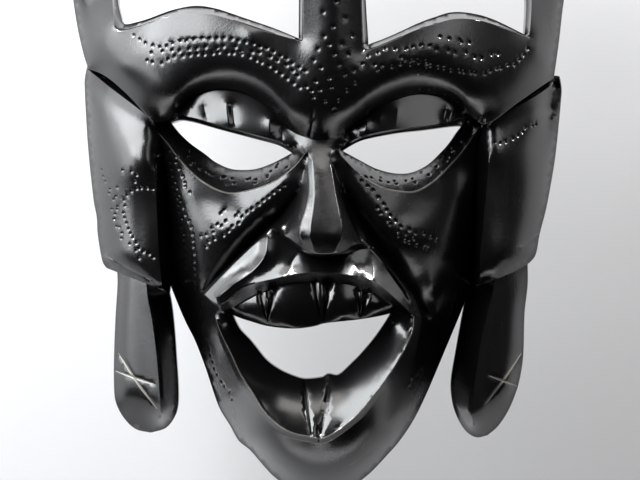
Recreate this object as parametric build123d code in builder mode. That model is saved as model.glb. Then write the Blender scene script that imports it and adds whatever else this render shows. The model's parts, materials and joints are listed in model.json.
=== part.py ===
from build123d import *
import os

os.makedirs("parts", exist_ok=True)

# A wall mask carved from half a log, in millimetres. +Z is up, +X is to the right as a viewer
# sees the mask, the face looks along -Y and the planed back lies on y = 0. The origin is on
# the planed back, in the rim under the hollow at the chin.

# ---- driving dimensions: the block ------------------------------------------------------
crown_top = 332.0  # height of the crown's highest point
chin_drop = 8.0  # how far the chin reaches below the origin
crown_half_width = 122.0  # at the widest level of the crown
crown_widest = 256.0  # height of that level
log_front = 84.0  # depth of the half log at the forehead
log_belly = 8.0  # distance of the log's widest line from its back
carving_reach = 130.0  # longer than any carving is deep
overrun = 4.0  # how far a bounding volume runs past the piece that it bounds

# ---- driving dimensions: how the crown's front falls back -------------------------------
temple_taper = 6.0  # the crown is this much narrower, each side, at the brows
ledge_taper = 5.0  # and at the ledges
dome_flare = 3.0  # its front curve is this much wider than its outline above them
dome_taper = 12.0  # and this much narrower at the very top
spring_setback = 4.0  # the front's distance behind the forehead where the openings arch
arch_setback = 8.0  # at the top of the openings
dome_setback = 26.0  # at the very top

# ---- driving dimensions: ledge, brows, cheeks and jaw -----------------------------------
ledge_outer = (112.5, 197.0)  # (half width, height) where the forehead overhangs the ear panel
ledge_inner = (80.5, 172.5)  # where the ledge reaches the side of the face
brow_outer = (73.7, 173.5)
brow_crest = (44.0, 188.3)
brow_inner = (14.6, 168.5)
brow_tip = 156.0  # height of the point where both brows meet on the nose
cheek_foot = (73.5, 90.0)  # where the side of the face turns into the jaw
jaw_angle = (52.0, 44.0)
jaw_corner = (40.0, 18.0)
face_front = 71.0  # depth of the cheeks at the centre line, before the nose stands on them
cheek_flank = 96.0  # half width of the curve that the cheeks follow
cheek_taper = 4.0  # the curve is this much narrower at the cheeks' foot
jaw_margin = 2.0  # the curve's margin over the jaw's outline
jaw_angle_margin = 4.0
chin_setback = 16.0  # the chin's distance behind the cheeks
jaw_corner_setback = 5.0
jaw_angle_setback = 1.0

# ---- driving dimensions: hollow ---------------------------------------------------------
hollow_foot = 16.0  # height of the hollow's lower end
hollow_roof = 280.0  # height of its upper end
hollow_depth = 55.0  # behind the cheeks
crown_hollow_depth = 62.0  # behind the forehead
hollow_half_width = 60.0  # behind the cheeks
crown_hollow_half_width = 100.0
hollow_foot_taper = 36.0  # the hollow is this much narrower, each side, at its foot
hollow_foot_rise = 26.0  # and this much shallower
hollow_jaw_taper = 18.0  # the same at the jaw's angle
hollow_jaw_rise = 6.0
hollow_cheek_taper = 4.0
hollow_eye_flare = 2.0
hollow_sill_taper = 10.0  # at the sills of the crown's openings
hollow_roof_taper = 28.0
hollow_roof_rise = 14.0

# ---- driving dimensions: features of the face -------------------------------------------
eye_outer = (71.5, 171.5)
eye_inner = (10.5, 155.0)
lid_bottom = (41.0, 136.0)  # lowest point of the lower eyelid
slit_top = (40.0, 164.5)  # middle of the slit's upper edge
slit_bottom = (41.0, 149.5)
slit_margin = 2.0  # wood left between the slit's ends and the lid's ends
lid_front = 77.0  # depth at which the lids' recess starts
slit_depth = 47.0  # depth at which the recess has narrowed to the slit
slit_start = 29.0  # depth, inside the hollow, from which the slit and the mouth are cut
nose_tip = 103.0  # depth of the nose at its tip
nose_base = 108.0  # height of its underside
nose_half_width = 16.5
nose_middle_rise = 22.0  # the nose's middle section above its base
nose_middle_setback = 7.0
bridge_setback = 6.0  # the bridge's distance behind the forehead
bridge_half_width = 6.5
muzzle_front = 91.0  # depth of both lips at the centre line
muzzle_flank = 74.0  # half width of the curve that the lips follow
muzzle_corner = (50.0, 90.0)  # corner of the upper lip
lip_line = 80.0  # height of the lip's lower edge at the corner
mouth_half_width = 39.0
mouth_corner_height = 80.0
mouth_dip = 5.5  # how far the row of teeth dips below the mouth's corners
mouth_bottom = 50.0
rim_half_width = 47.0  # lower lip's outer rim
rim_bottom = 23.0
rim_fullness = 0.72  # share of the rim's half width where its side turns in
rim_turn_drop = 6.0  # that point's distance below half height
bowl_margin = 3.5  # width of the lower lip's rim
tooth_notch_depth = 8.0
tooth_notch_width = 15.0
tooth_notch_height = 15.0
tooth_notch_places = (-24.0, 1.0, 20.0)
tooth_notch_top = 92.5

# ---- driving dimensions: openings and column of the crown -------------------------------
column_centre = 5.5
column_width = 29.0
opening_outer = 99.0  # half width of the crown openings' outer edges
opening_sill_outer = 216.0
opening_sill_crest = 225.0
opening_sill_inner = 209.0
opening_spring = 246.0  # height where the arch leaves the outer edge
opening_crest = 272.0  # height of the arch over the middle of the opening
opening_top_inner = 278.0  # height of the arch at the column

# ---- driving dimensions: ear panels and pendants ----------------------------------------
panel_half_width = 113.5  # outer edge of the panel at its top
panel_waist = (111.0, 150.0)
panel_foot_outer = (103.8, 104.0)
panel_foot_inner = (76.5, 91.7)
panel_front = 76.0  # depth of the curve that the panels follow at the centre line
panel_flank = 116.0  # half width of the same curve
panel_back = (98.0, 38.0)  # half width and depth of the curve hollowed behind the panels
pendant_shoulder = (98.5, 96.0)
pendant_heel = (99.0, 40.0)  # where the round foot starts on the outside
pendant_foot = 22.0  # lowest point
pendant_toe = (70.5, 38.0)  # where the round foot ends on the inside
pendant_root_inner = (76.5, 92.0)
pendant_ridge = 79.5  # half width of its front ridge
pendant_bevel_depth = 36.0
pendant_bevel_front = 57.0  # depth of the bevel's front edge
pendant_bevel_width = 12.0
pendant_root_margin = 4.0  # how far the root stays inside the panel's foot

# ---- driving dimensions: hanger ---------------------------------------------------------
ring_wire = 2.4  # diameter of the ring's wire
ring_width = 22.0  # centre to centre of the two corners
ring_drop = 15.0  # pivot to the centre of the wire at the ring's far side
ring_corner = 3.0  # bend radius of the ring's corners
strap_thickness = 1.2
strap_width = 10.0
strap_height = 20.0  # pivot to the strap's far end
pivot_clearance = 0.08  # radial, between the wire and the eye
pocket_depth = 6.0
pocket_margin = 4.0  # free space round the hanger
pivot_height = 302.0
screw_shank = 3.2
screw_length = 16.0
screw_head = 6.0
screw_head_height = 1.8
screw_spacing = 8.0
screw_first = 7.0  # pivot to the lower screw
screw_clearance = 0.05  # radial, between shank and its pilot hole

# ---- worked out -------------------------------------------------------------------------
eye_bore = ring_wire / 2 + pivot_clearance
eye_outside = eye_bore + strap_thickness
pivot_y = -pocket_depth + eye_outside
strap_face = -pocket_depth + strap_thickness
screw_heights = [pivot_height + screw_first + i * screw_spacing for i in range(2)]
left_opening_inner = column_centre - column_width / 2
right_opening_inner = column_centre + column_width / 2


def half_log_section(height, half_width, front, belly):
    """One level of a half log: an elliptic front whose widest line lies at depth `belly`."""
    with BuildSketch(Plane.XY.offset(height)) as section:
        with BuildLine():
            EllipticalCenterArc(
                (0, -belly), half_width, front - belly, start_angle=180, arc_size=180
            )
            Polyline(
                (half_width, -belly),
                (half_width, log_belly),
                (-half_width, log_belly),
                (-half_width, -belly),
            )
        make_face()
    return section.sketch


def crescent(half_width, corner_height, bottom):
    """Outline of the mouth or of its bowl: the dipped row of teeth above, a round lip below."""
    corner = (half_width, corner_height)
    with BuildLine() as outline:
        ThreePointArc(left(corner), (0, bottom), corner)
        ThreePointArc(corner, (0, mouth_corner_height - mouth_dip), left(corner))
    return outline.line


def left(point):
    """The mirror image, on the viewer's left, of a (half width, height) pair."""
    return (-point[0], point[1])


# ---- helper volumes, used to cut and bound the pieces -----------------------------------
# Everything in front view that belongs to the crown: its flared sides, its domed top and,
# below, the ledges over the ear panels and the two brow arches.
with BuildPart() as crown_prism:
    with BuildSketch(Plane.XZ):
        with BuildLine():
            Spline(
                left(ledge_outer),
                (-crown_half_width, crown_widest),
                (0, crown_top),
                tangents=[(-0.25, 1), (1, 0)],
            )
            Line(left(ledge_outer), left(ledge_inner))
            Line(left(ledge_inner), left(brow_outer))
            ThreePointArc(left(brow_outer), left(brow_crest), left(brow_inner))
            Line(left(brow_inner), (0, brow_tip))
            mirror(about=Plane.YZ)
        make_face()
    extrude(amount=carving_reach)

# The front surface of the crown, level by level.
with BuildPart() as crown_relief:
    crown_levels = (
        (brow_tip - 1.5 * overrun, crown_half_width - temple_taper, log_front),
        (ledge_outer[1], crown_half_width - ledge_taper, log_front),
        (opening_spring, crown_half_width + dome_flare, log_front - spring_setback),
        (opening_top_inner, crown_half_width + dome_flare, log_front - arch_setback),
        (crown_top + overrun, crown_half_width - dome_taper, log_front - dome_setback),
    )
    loft([half_log_section(*level, log_belly) for level in crown_levels])

# The front surface of the cheeks and jaw, level by level.
with BuildPart() as face_relief:
    face_levels = (
        (-chin_drop - overrun, jaw_corner[0] + jaw_margin, face_front - chin_setback),
        (jaw_corner[1] + 8, jaw_angle[0] + jaw_angle_margin, face_front - jaw_corner_setback),
        (jaw_angle[1] + 16, cheek_foot[0] + jaw_margin, face_front - jaw_angle_setback),
        (cheek_foot[1] + 20, cheek_flank - cheek_taper, face_front),
        (brow_crest[1] + 2 * overrun, cheek_flank, face_front),
    )
    loft([half_log_section(*level, 0) for level in face_levels])

# The hollow behind the face and the crown, open to the back.
with BuildPart() as hollow:
    hollow_levels = (
        (hollow_foot, hollow_half_width - hollow_foot_taper, hollow_depth - hollow_foot_rise),
        (jaw_angle[1] + 8, hollow_half_width - hollow_jaw_taper, hollow_depth - hollow_jaw_rise),
        (cheek_foot[1] + 6, hollow_half_width - hollow_cheek_taper, hollow_depth),
        (eye_inner[1], hollow_half_width + hollow_eye_flare, hollow_depth),
        (opening_sill_inner, crown_hollow_half_width - hollow_sill_taper, crown_hollow_depth),
        (opening_spring, crown_hollow_half_width, crown_hollow_depth - 2),
        (hollow_roof, crown_hollow_half_width - hollow_roof_taper, crown_hollow_depth - hollow_roof_rise),
    )
    loft([half_log_section(*level, 0) for level in hollow_levels], ruled=True)

# Both lips stand on one curved muzzle, the lower one bounded by a round rim.
with BuildPart() as lips:
    with BuildSketch(Plane.XZ):
        with BuildLine():
            Polyline(
                (0, nose_base + overrun),
                (-nose_half_width - 6, nose_base + overrun),
                left(muzzle_corner),
                (-rim_half_width, lip_line),
            )
            Spline(
                (-rim_half_width, lip_line),
                (-rim_half_width * rim_fullness, (lip_line + rim_bottom) / 2 - rim_turn_drop),
                (0, rim_bottom),
                tangents=[(0.2, -1), (1, 0)],
            )
            mirror(about=Plane.YZ)
        make_face()
    extrude(amount=carving_reach)
    with BuildSketch(Plane.XY.offset(rim_bottom - 10)):
        Ellipse(muzzle_flank, muzzle_front)
    extrude(amount=nose_base - rim_bottom + 30, mode=Mode.INTERSECT)

# One ear panel in front view, from under the ledge down to its slanting foot.
with BuildPart() as panel_prism:
    with BuildSketch(Plane.XZ):
        with BuildLine():
            Polyline(
                left(cheek_foot),
                left(ledge_inner),
                (-ledge_inner[0], ledge_outer[1] + overrun),
                (-panel_half_width, ledge_outer[1] + overrun),
                left(panel_waist),
                left(panel_foot_outer),
                left(panel_foot_inner),
                left(cheek_foot),
            )
        make_face()
    extrude(amount=carving_reach)

# The body of the log that the panels and pendants are cut from, hollowed behind.
with BuildPart() as ear_shell:
    add(half_log_section(pendant_foot - 10, panel_flank, panel_front, log_belly))
    extrude(amount=ledge_outer[1] - pendant_foot + 20)
    add(half_log_section(pendant_foot - 12, *panel_back, 0))
    extrude(amount=ledge_outer[1] - pendant_foot + 24, mode=Mode.SUBTRACT)

# The hanger's pocket in the back of the crown.
pocket_half_width = ring_width / 2 + ring_wire / 2 + pocket_margin
pocket_low = pivot_height - ring_drop - ring_wire / 2 - pocket_margin
pocket_high = pivot_height + strap_height + pocket_margin

# ---- crown ------------------------------------------------------------------------------
with BuildPart() as crown:
    add(crown_prism.part)
    add(crown_relief.part, mode=Mode.INTERSECT)
    add(hollow.part, mode=Mode.SUBTRACT)
    for side, inner in ((-1, left_opening_inner), (1, right_opening_inner)):
        outer = side * opening_outer
        middle = (outer + inner) / 2
        with BuildSketch(Plane.XZ):
            with BuildLine():
                ThreePointArc(
                    (outer, opening_sill_outer),
                    (middle, opening_sill_crest),
                    (inner, opening_sill_inner),
                )
                Line((inner, opening_sill_inner), (inner, opening_top_inner))
                ThreePointArc(
                    (inner, opening_top_inner),
                    (middle, opening_crest),
                    (outer, opening_spring),
                )
                Line((outer, opening_spring), (outer, opening_sill_outer))
            make_face()
        extrude(amount=carving_reach, mode=Mode.SUBTRACT)
    with BuildSketch(Plane.XZ):
        with Locations((0, (pocket_low + pocket_high) / 2)):
            Rectangle(2 * pocket_half_width, pocket_high - pocket_low)
    extrude(amount=pocket_depth, mode=Mode.SUBTRACT)
    with BuildSketch(Plane.XZ.offset(pocket_depth)):
        for height in screw_heights:
            with Locations((0, height)):
                Circle(screw_shank / 2 + screw_clearance)
    extrude(amount=screw_length, mode=Mode.SUBTRACT)
crown.part.label = "crown"
export_step(crown.part, "parts/crown.step")

# ---- face -------------------------------------------------------------------------------
with BuildPart() as face:
    with BuildSketch(Plane.XZ):
        with BuildLine():
            Polyline(
                (0, brow_crest[1] + overrun),
                (-ledge_inner[0], brow_crest[1] + overrun),
                left(ledge_inner),
                left(cheek_foot),
            )
            Spline(
                left(cheek_foot),
                left(jaw_angle),
                left(jaw_corner),
                (0, -chin_drop),
                tangents=[(0.46, -1), (1, 0)],
            )
            mirror(about=Plane.YZ)
        make_face()
    extrude(amount=carving_reach)
    add(face_relief.part, mode=Mode.INTERSECT)

    add(lips.part)

    # The nose, a wedge that widens and rises to its tip and is cut flat underneath.
    for height, half_width, depth in (
        (brow_tip + 2 * overrun, bridge_half_width - 2, log_front - bridge_setback),
        (
            nose_base + nose_middle_rise,
            (bridge_half_width + nose_half_width) / 2,
            nose_tip - nose_middle_setback,
        ),
        (nose_base, nose_half_width, nose_tip),
    ):
        with BuildSketch(Plane.XY.offset(height)):
            with BuildLine():
                Polyline(
                    (-half_width, -hollow_depth),
                    (-half_width, -depth + half_width),
                    (-half_width / 3, -depth),
                    (half_width / 3, -depth),
                    (half_width, -depth + half_width),
                    (half_width, -hollow_depth),
                    close=True,
                )
            make_face()
    loft(ruled=True)

    add(hollow.part, mode=Mode.SUBTRACT)
    add(crown_prism.part, mode=Mode.SUBTRACT)

    # Each eye: a lens-shaped recess whose lids fall back to a slit cut right through.
    for side in (-1, 1):
        lids = (
            (lid_front, eye_outer, brow_crest, eye_inner, lid_bottom, 0.0),
            (slit_depth, eye_outer, slit_top, eye_inner, slit_bottom, slit_margin),
        )
        for depth, outer, top, inner, bottom, margin in lids:
            with BuildSketch(Plane.XZ.offset(depth)):
                start = (side * (outer[0] - margin), outer[1] - margin)
                end = (side * (inner[0] + margin), inner[1] + margin)
                with BuildLine():
                    ThreePointArc(start, (side * top[0], top[1]), end)
                    ThreePointArc(end, (side * bottom[0], bottom[1]), start)
                make_face()
        loft(mode=Mode.SUBTRACT)
        with BuildSketch(Plane.XZ.offset(slit_start)):
            start = (side * (eye_outer[0] - slit_margin), eye_outer[1] - slit_margin)
            end = (side * (eye_inner[0] + slit_margin), eye_inner[1] + slit_margin)
            with BuildLine():
                ThreePointArc(start, (side * slit_top[0], slit_top[1]), end)
                ThreePointArc(end, (side * slit_bottom[0], slit_bottom[1]), start)
            make_face()
        extrude(amount=carving_reach, mode=Mode.SUBTRACT)

    # The lower lip is dished from just inside its rim down to the mouth.
    with BuildSketch(Plane.XZ.offset(muzzle_front + 2)):
        make_face(
            crescent(rim_half_width - bowl_margin, lip_line - 2, rim_bottom + bowl_margin).edges()
        )
    with BuildSketch(Plane.XZ.offset(hollow_depth)):
        make_face(crescent(mouth_half_width, mouth_corner_height, mouth_bottom).edges())
    loft(mode=Mode.SUBTRACT)
    with BuildSketch(Plane.XZ.offset(slit_start)):
        make_face(crescent(mouth_half_width, mouth_corner_height, mouth_bottom).edges())
    extrude(amount=carving_reach, mode=Mode.SUBTRACT)

    # Pointed notches that part the teeth under the upper lip.
    with BuildSketch(Plane.XZ.offset(muzzle_front - tooth_notch_depth)):
        for place in tooth_notch_places:
            with BuildLine():
                Polyline(
                    (place - tooth_notch_width / 2, tooth_notch_top),
                    (place, tooth_notch_top - tooth_notch_height),
                    (place + tooth_notch_width / 2, tooth_notch_top),
                    close=True,
                )
            make_face()
    extrude(amount=tooth_notch_depth + 4, mode=Mode.SUBTRACT)
face.part.label = "face"
export_step(face.part, "parts/face.step")

# ---- ear panels and ear pendants --------------------------------------------------------
with BuildPart() as ear_panel_left:
    add(panel_prism.part)
    add(ear_shell.part, mode=Mode.INTERSECT)
    add(crown_prism.part, mode=Mode.SUBTRACT)
ear_panel_left.part.label = "ear_panel_left"
export_step(ear_panel_left.part, "parts/ear_panel_left.step")

with BuildPart() as ear_panel_right:
    add(ear_panel_left.part.mirror(Plane.YZ))
ear_panel_right.part.label = "ear_panel_right"
export_step(ear_panel_right.part, "parts/ear_panel_right.step")

with BuildPart() as ear_pendant_left:
    with BuildSketch(Plane.XZ):
        with BuildLine():
            Line(left(pendant_shoulder), left(pendant_heel))
            ThreePointArc(
                left(pendant_heel),
                (-(pendant_heel[0] + pendant_toe[0]) / 2, pendant_foot),
                left(pendant_toe),
            )
            Polyline(
                left(pendant_toe),
                left(pendant_root_inner),
                (-pendant_root_inner[0], panel_foot_outer[1]),
                (-panel_foot_outer[0] + pendant_root_margin, panel_foot_outer[1]),
                left(pendant_shoulder),
            )
        make_face()
    extrude(amount=carving_reach)
    add(ear_shell.part, mode=Mode.INTERSECT)
    add(panel_prism.part, mode=Mode.SUBTRACT)
    # A flat bevel runs from the front ridge back to the inner edge.
    with BuildSketch(Plane.XY.offset(pendant_foot - 5)):
        with BuildLine():
            Polyline(
                (-pendant_ridge, -panel_front),
                (-pendant_ridge, -pendant_bevel_front),
                (-pendant_toe[0], -pendant_bevel_front + pendant_bevel_depth),
                (-pendant_toe[0] + pendant_bevel_width, -pendant_bevel_front + pendant_bevel_depth),
                (-pendant_toe[0] + pendant_bevel_width, -panel_front),
                close=True,
            )
        make_face()
    extrude(amount=panel_foot_outer[1] - pendant_foot, mode=Mode.SUBTRACT)
ear_pendant_left.part.label = "ear_pendant_left"
export_step(ear_pendant_left.part, "parts/ear_pendant_left.step")

with BuildPart() as ear_pendant_right:
    add(ear_pendant_left.part.mirror(Plane.YZ))
ear_pendant_right.part.label = "ear_pendant_right"
export_step(ear_pendant_right.part, "parts/ear_pendant_right.step")

# ---- hanger -----------------------------------------------------------------------------
with BuildPart() as hanger_strap:
    with BuildSketch(Plane.YZ.offset(-strap_width / 2)):
        with Locations((pivot_y, pivot_height)):
            Circle(eye_outside)
        with Locations(((strap_face - pocket_depth) / 2, pivot_height + strap_height / 2)):
            Rectangle(strap_thickness, strap_height)
        with Locations((pivot_y, pivot_height)):
            Circle(eye_bore, mode=Mode.SUBTRACT)
    extrude(amount=strap_width)
    with BuildSketch(Plane.XZ.offset(-strap_face)):
        for height in screw_heights:
            with Locations((0, height)):
                Circle(screw_shank / 2 + screw_clearance)
    extrude(amount=strap_thickness, mode=Mode.SUBTRACT)
hanger_strap.part.label = "hanger_strap"
export_step(hanger_strap.part, "parts/hanger_strap.step")

with BuildPart() as hanger_screws:
    for height in screw_heights:
        with BuildSketch(Plane.XZ.offset(-strap_face)):
            with Locations((0, height)):
                Circle(screw_shank / 2)
        extrude(amount=screw_length)
        with BuildSketch(Plane.XZ.offset(-strap_face)):
            with Locations((0, height)):
                Circle(screw_head / 2)
        extrude(amount=-screw_head_height)
hanger_screws.part.label = "hanger_screws"
export_step(hanger_screws.part, "parts/hanger_screws.step")

# The ring hangs from the eye: a straight bar, two round corners and a bow.
with BuildPart() as hanger_ring:
    with BuildLine(Plane.XZ.offset(-pivot_y)) as ring_path:
        FilletPolyline(
            (ring_width / 2, pivot_height),
            (ring_width / 2, pivot_height - ring_drop),
            (-ring_width / 2, pivot_height - ring_drop),
            (-ring_width / 2, pivot_height),
            radius=ring_corner,
            close=True,
        )
    with BuildSketch(Plane(origin=ring_path.line @ 0, z_dir=ring_path.line % 0)):
        Circle(ring_wire / 2)
    sweep()
hanger_ring.part.label = "hanger_ring"
export_step(hanger_ring.part, "parts/hanger_ring.step")
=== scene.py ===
"""The looks of a carved wooden mask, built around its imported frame.

Every wooden piece is a relief: lines that a carver would draw on the block, each with its own
depth, and a surface that settles between them like a bent sheet, with a crease at each line.
Sizes inside the reliefs are in millimetres, as the frame's are: x to the right, z up, and depth
towards the viewer from the planed back.
"""

from __future__ import annotations

import itertools
import json
import logging
import math
import random
from collections.abc import Iterable, Sequence
from dataclasses import dataclass, field
from enum import Enum

import bpy
import numpy as np
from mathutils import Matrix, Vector
from mathutils.geometry import delaunay_2d_cdt
from mathutils.kdtree import KDTree

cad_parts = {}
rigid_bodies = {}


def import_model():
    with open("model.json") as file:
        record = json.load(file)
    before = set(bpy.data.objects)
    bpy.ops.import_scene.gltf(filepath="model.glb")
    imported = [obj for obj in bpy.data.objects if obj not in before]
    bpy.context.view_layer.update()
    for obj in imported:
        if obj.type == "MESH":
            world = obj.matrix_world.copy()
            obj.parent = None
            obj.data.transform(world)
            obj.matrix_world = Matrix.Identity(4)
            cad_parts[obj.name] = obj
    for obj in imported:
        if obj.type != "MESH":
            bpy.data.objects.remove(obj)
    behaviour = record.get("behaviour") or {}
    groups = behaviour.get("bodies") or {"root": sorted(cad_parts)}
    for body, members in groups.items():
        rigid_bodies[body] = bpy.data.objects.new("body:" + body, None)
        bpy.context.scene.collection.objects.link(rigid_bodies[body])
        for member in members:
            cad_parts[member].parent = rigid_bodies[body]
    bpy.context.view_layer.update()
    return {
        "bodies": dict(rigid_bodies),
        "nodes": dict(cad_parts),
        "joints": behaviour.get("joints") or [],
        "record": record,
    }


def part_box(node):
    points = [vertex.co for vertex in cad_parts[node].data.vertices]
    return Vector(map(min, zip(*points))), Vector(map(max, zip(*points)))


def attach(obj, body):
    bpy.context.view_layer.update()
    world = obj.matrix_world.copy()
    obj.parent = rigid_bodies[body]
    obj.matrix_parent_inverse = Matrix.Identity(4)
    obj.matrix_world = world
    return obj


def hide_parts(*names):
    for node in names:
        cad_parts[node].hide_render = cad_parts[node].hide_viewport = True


LOG = logging.getLogger("mask")
MM = 0.001
SHARP = math.radians(62)  # edges that turn more than this are shaded as edges
Point = tuple[float, ...]
Place = tuple[float, float, float]
Colour = tuple[float, float, float]


# ---------------------------------------------------------------------------------------
# Lines on the block
# ---------------------------------------------------------------------------------------
class Hold(Enum):
    """How a line holds the surface that settles over it."""

    CREASE = "crease"  # the surface breaks at the line
    SWELL = "swell"  # the surface passes smoothly over the line


@dataclass(frozen=True)
class Line:
    """One drawn line: given (x, z, depth) points and how the surface meets it."""

    points: tuple[Point, ...]
    hold: Hold = Hold.CREASE
    rounded: bool = True

    def backwards(self) -> Line:
        """The same line, drawn from its other end."""
        return Line(self.points[::-1], self.hold, self.rounded)

    def trace(self, spacing: float) -> np.ndarray:
        """Samples the line evenly, as a Catmull-Rom curve if it is rounded.

        Args:
            spacing: distance between samples in mm.

        Returns:
            An array of (x, z, depth) rows.
        """
        corners = np.asarray(self.points, float)
        if not self.rounded or len(corners) < 3:
            return even(corners, spacing)
        before, after = 2 * corners[0] - corners[1], 2 * corners[-1] - corners[-2]
        ring = np.vstack([before, corners, after])
        t = np.linspace(0, 1, 17)[:-1, None]
        runs = []
        for a, b, c, d in zip(ring, ring[1:], ring[2:], ring[3:]):
            square, cube = 2 * a - 5 * b + 4 * c - d, 3 * b - a - 3 * c + d
            runs.append(0.5 * (2 * b + (c - a) * t + square * t**2 + cube * t**3))
        return even(np.vstack([*runs, corners[-1:]]), spacing)


@dataclass(frozen=True)
class Groove:
    """A cut of its own width, sunk below whatever surface it crosses."""

    points: tuple[Point, ...]
    width: float
    depth: float
    bare: float = 0.0  # how much pale shows in it: unlacquered wood in a scratch, a painted highlight along a rim
    pointed: bool = False  # narrows from its first point to nothing

    def half_width(self, share: np.ndarray) -> np.ndarray:
        """Half its width at a share of its length."""
        if self.pointed:
            return self.width / 2 * (1.0 - 0.85 * share)
        return self.width / 2 * np.sqrt(np.sin(np.clip(share, 0.03, 0.97) * np.pi))


@dataclass(frozen=True)
class PunchRow:
    """A row of punched dents along a line."""

    points: tuple[Point, ...]
    pitch: float = 2.7
    wander: float = 0.35


def even(points: np.ndarray, spacing: float) -> np.ndarray:
    """Resamples a polyline at an even spacing.

    Args:
        points: rows of (x, z, ...).
        spacing: wanted distance between samples.

    Returns:
        The resampled rows, first and last kept.
    """
    steps = np.linalg.norm(np.diff(points[:, :2], axis=0), axis=1)
    along = np.concatenate([[0.0], np.cumsum(steps)])
    count = max(2, int(round(along[-1] / spacing)) + 1)
    at = np.linspace(0, along[-1], count)
    return np.column_stack([np.interp(at, along, points[:, k]) for k in range(points.shape[1])])


def away(points: np.ndarray, path: np.ndarray) -> tuple[np.ndarray, np.ndarray]:
    """Measures how far points lie from a path.

    Args:
        points: (m, 2) points.
        path: (n, 2) corners of an open path.

    Returns:
        Each point's distance, and the share of the path's length where it is nearest.
    """
    best = np.full(len(points), np.inf)
    share = np.zeros(len(points))
    for k, (a, b) in enumerate(zip(path, path[1:])):
        run = b - a
        t = np.clip(((points - a) @ run) / max(run @ run, 1e-12), 0, 1)
        gap = np.linalg.norm(points - a - t[:, None] * run, axis=1)
        nearer = gap < best
        best[nearer] = gap[nearer]
        share[nearer] = (k + t[nearer]) / (len(path) - 1)
    return best, share


def planted(points: np.ndarray) -> KDTree:
    """Builds a search tree over (x, z) points."""
    tree = KDTree(max(1, len(points)))
    for i, (x, z) in enumerate(points):
        tree.insert((x, z, 0), i)
    tree.balance()
    return tree


def inside(polygon: np.ndarray, points: np.ndarray) -> np.ndarray:
    """Tells which points lie inside a polygon.

    Args:
        polygon: (n, 2) corners.
        points: (m, 2) points.

    Returns:
        A boolean for each point.
    """
    x, z = points[:, 0], points[:, 1]
    found = np.zeros(len(points), bool)
    for (x0, z0), (x1, z1) in zip(polygon, np.roll(polygon, -1, axis=0)):
        crosses = (z0 > z) != (z1 > z)
        with np.errstate(divide="ignore", invalid="ignore"):
            found ^= crosses & (x < (x1 - x0) * (z - z0) / (z1 - z0) + x0)
    return found


@dataclass(frozen=True)
class Log:
    """The rounded front of the half log that a piece is carved from."""

    half_width: float
    front: float
    belly: float = 8.0

    def depth(self, x: np.ndarray | float) -> np.ndarray:
        """Depth of the log's front at a distance x from its centre line."""
        return self.belly + (self.front - self.belly) * np.sqrt(
            np.clip(1 - (np.asarray(x) / self.half_width) ** 2, 0.0, 1.0)
        )


CROWN_LOG = Log(119.5, 84.0)
FACE_LOG = Log(97.0, 71.0, 0.0)
EAR_LOG = Log(116.0, 76.0)


# ---------------------------------------------------------------------------------------
# The relief: from lines to a closed carved shell
# ---------------------------------------------------------------------------------------
FREE, SOFT, BROKEN = 0, 1, 2  # how a point is held: not at all, by a swell, by a crease
DENT_RINGS = ((0.0, 1), (0.45, 6), (0.9, 10), (1.35, 10))  # share of a dent's radius, points


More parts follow.
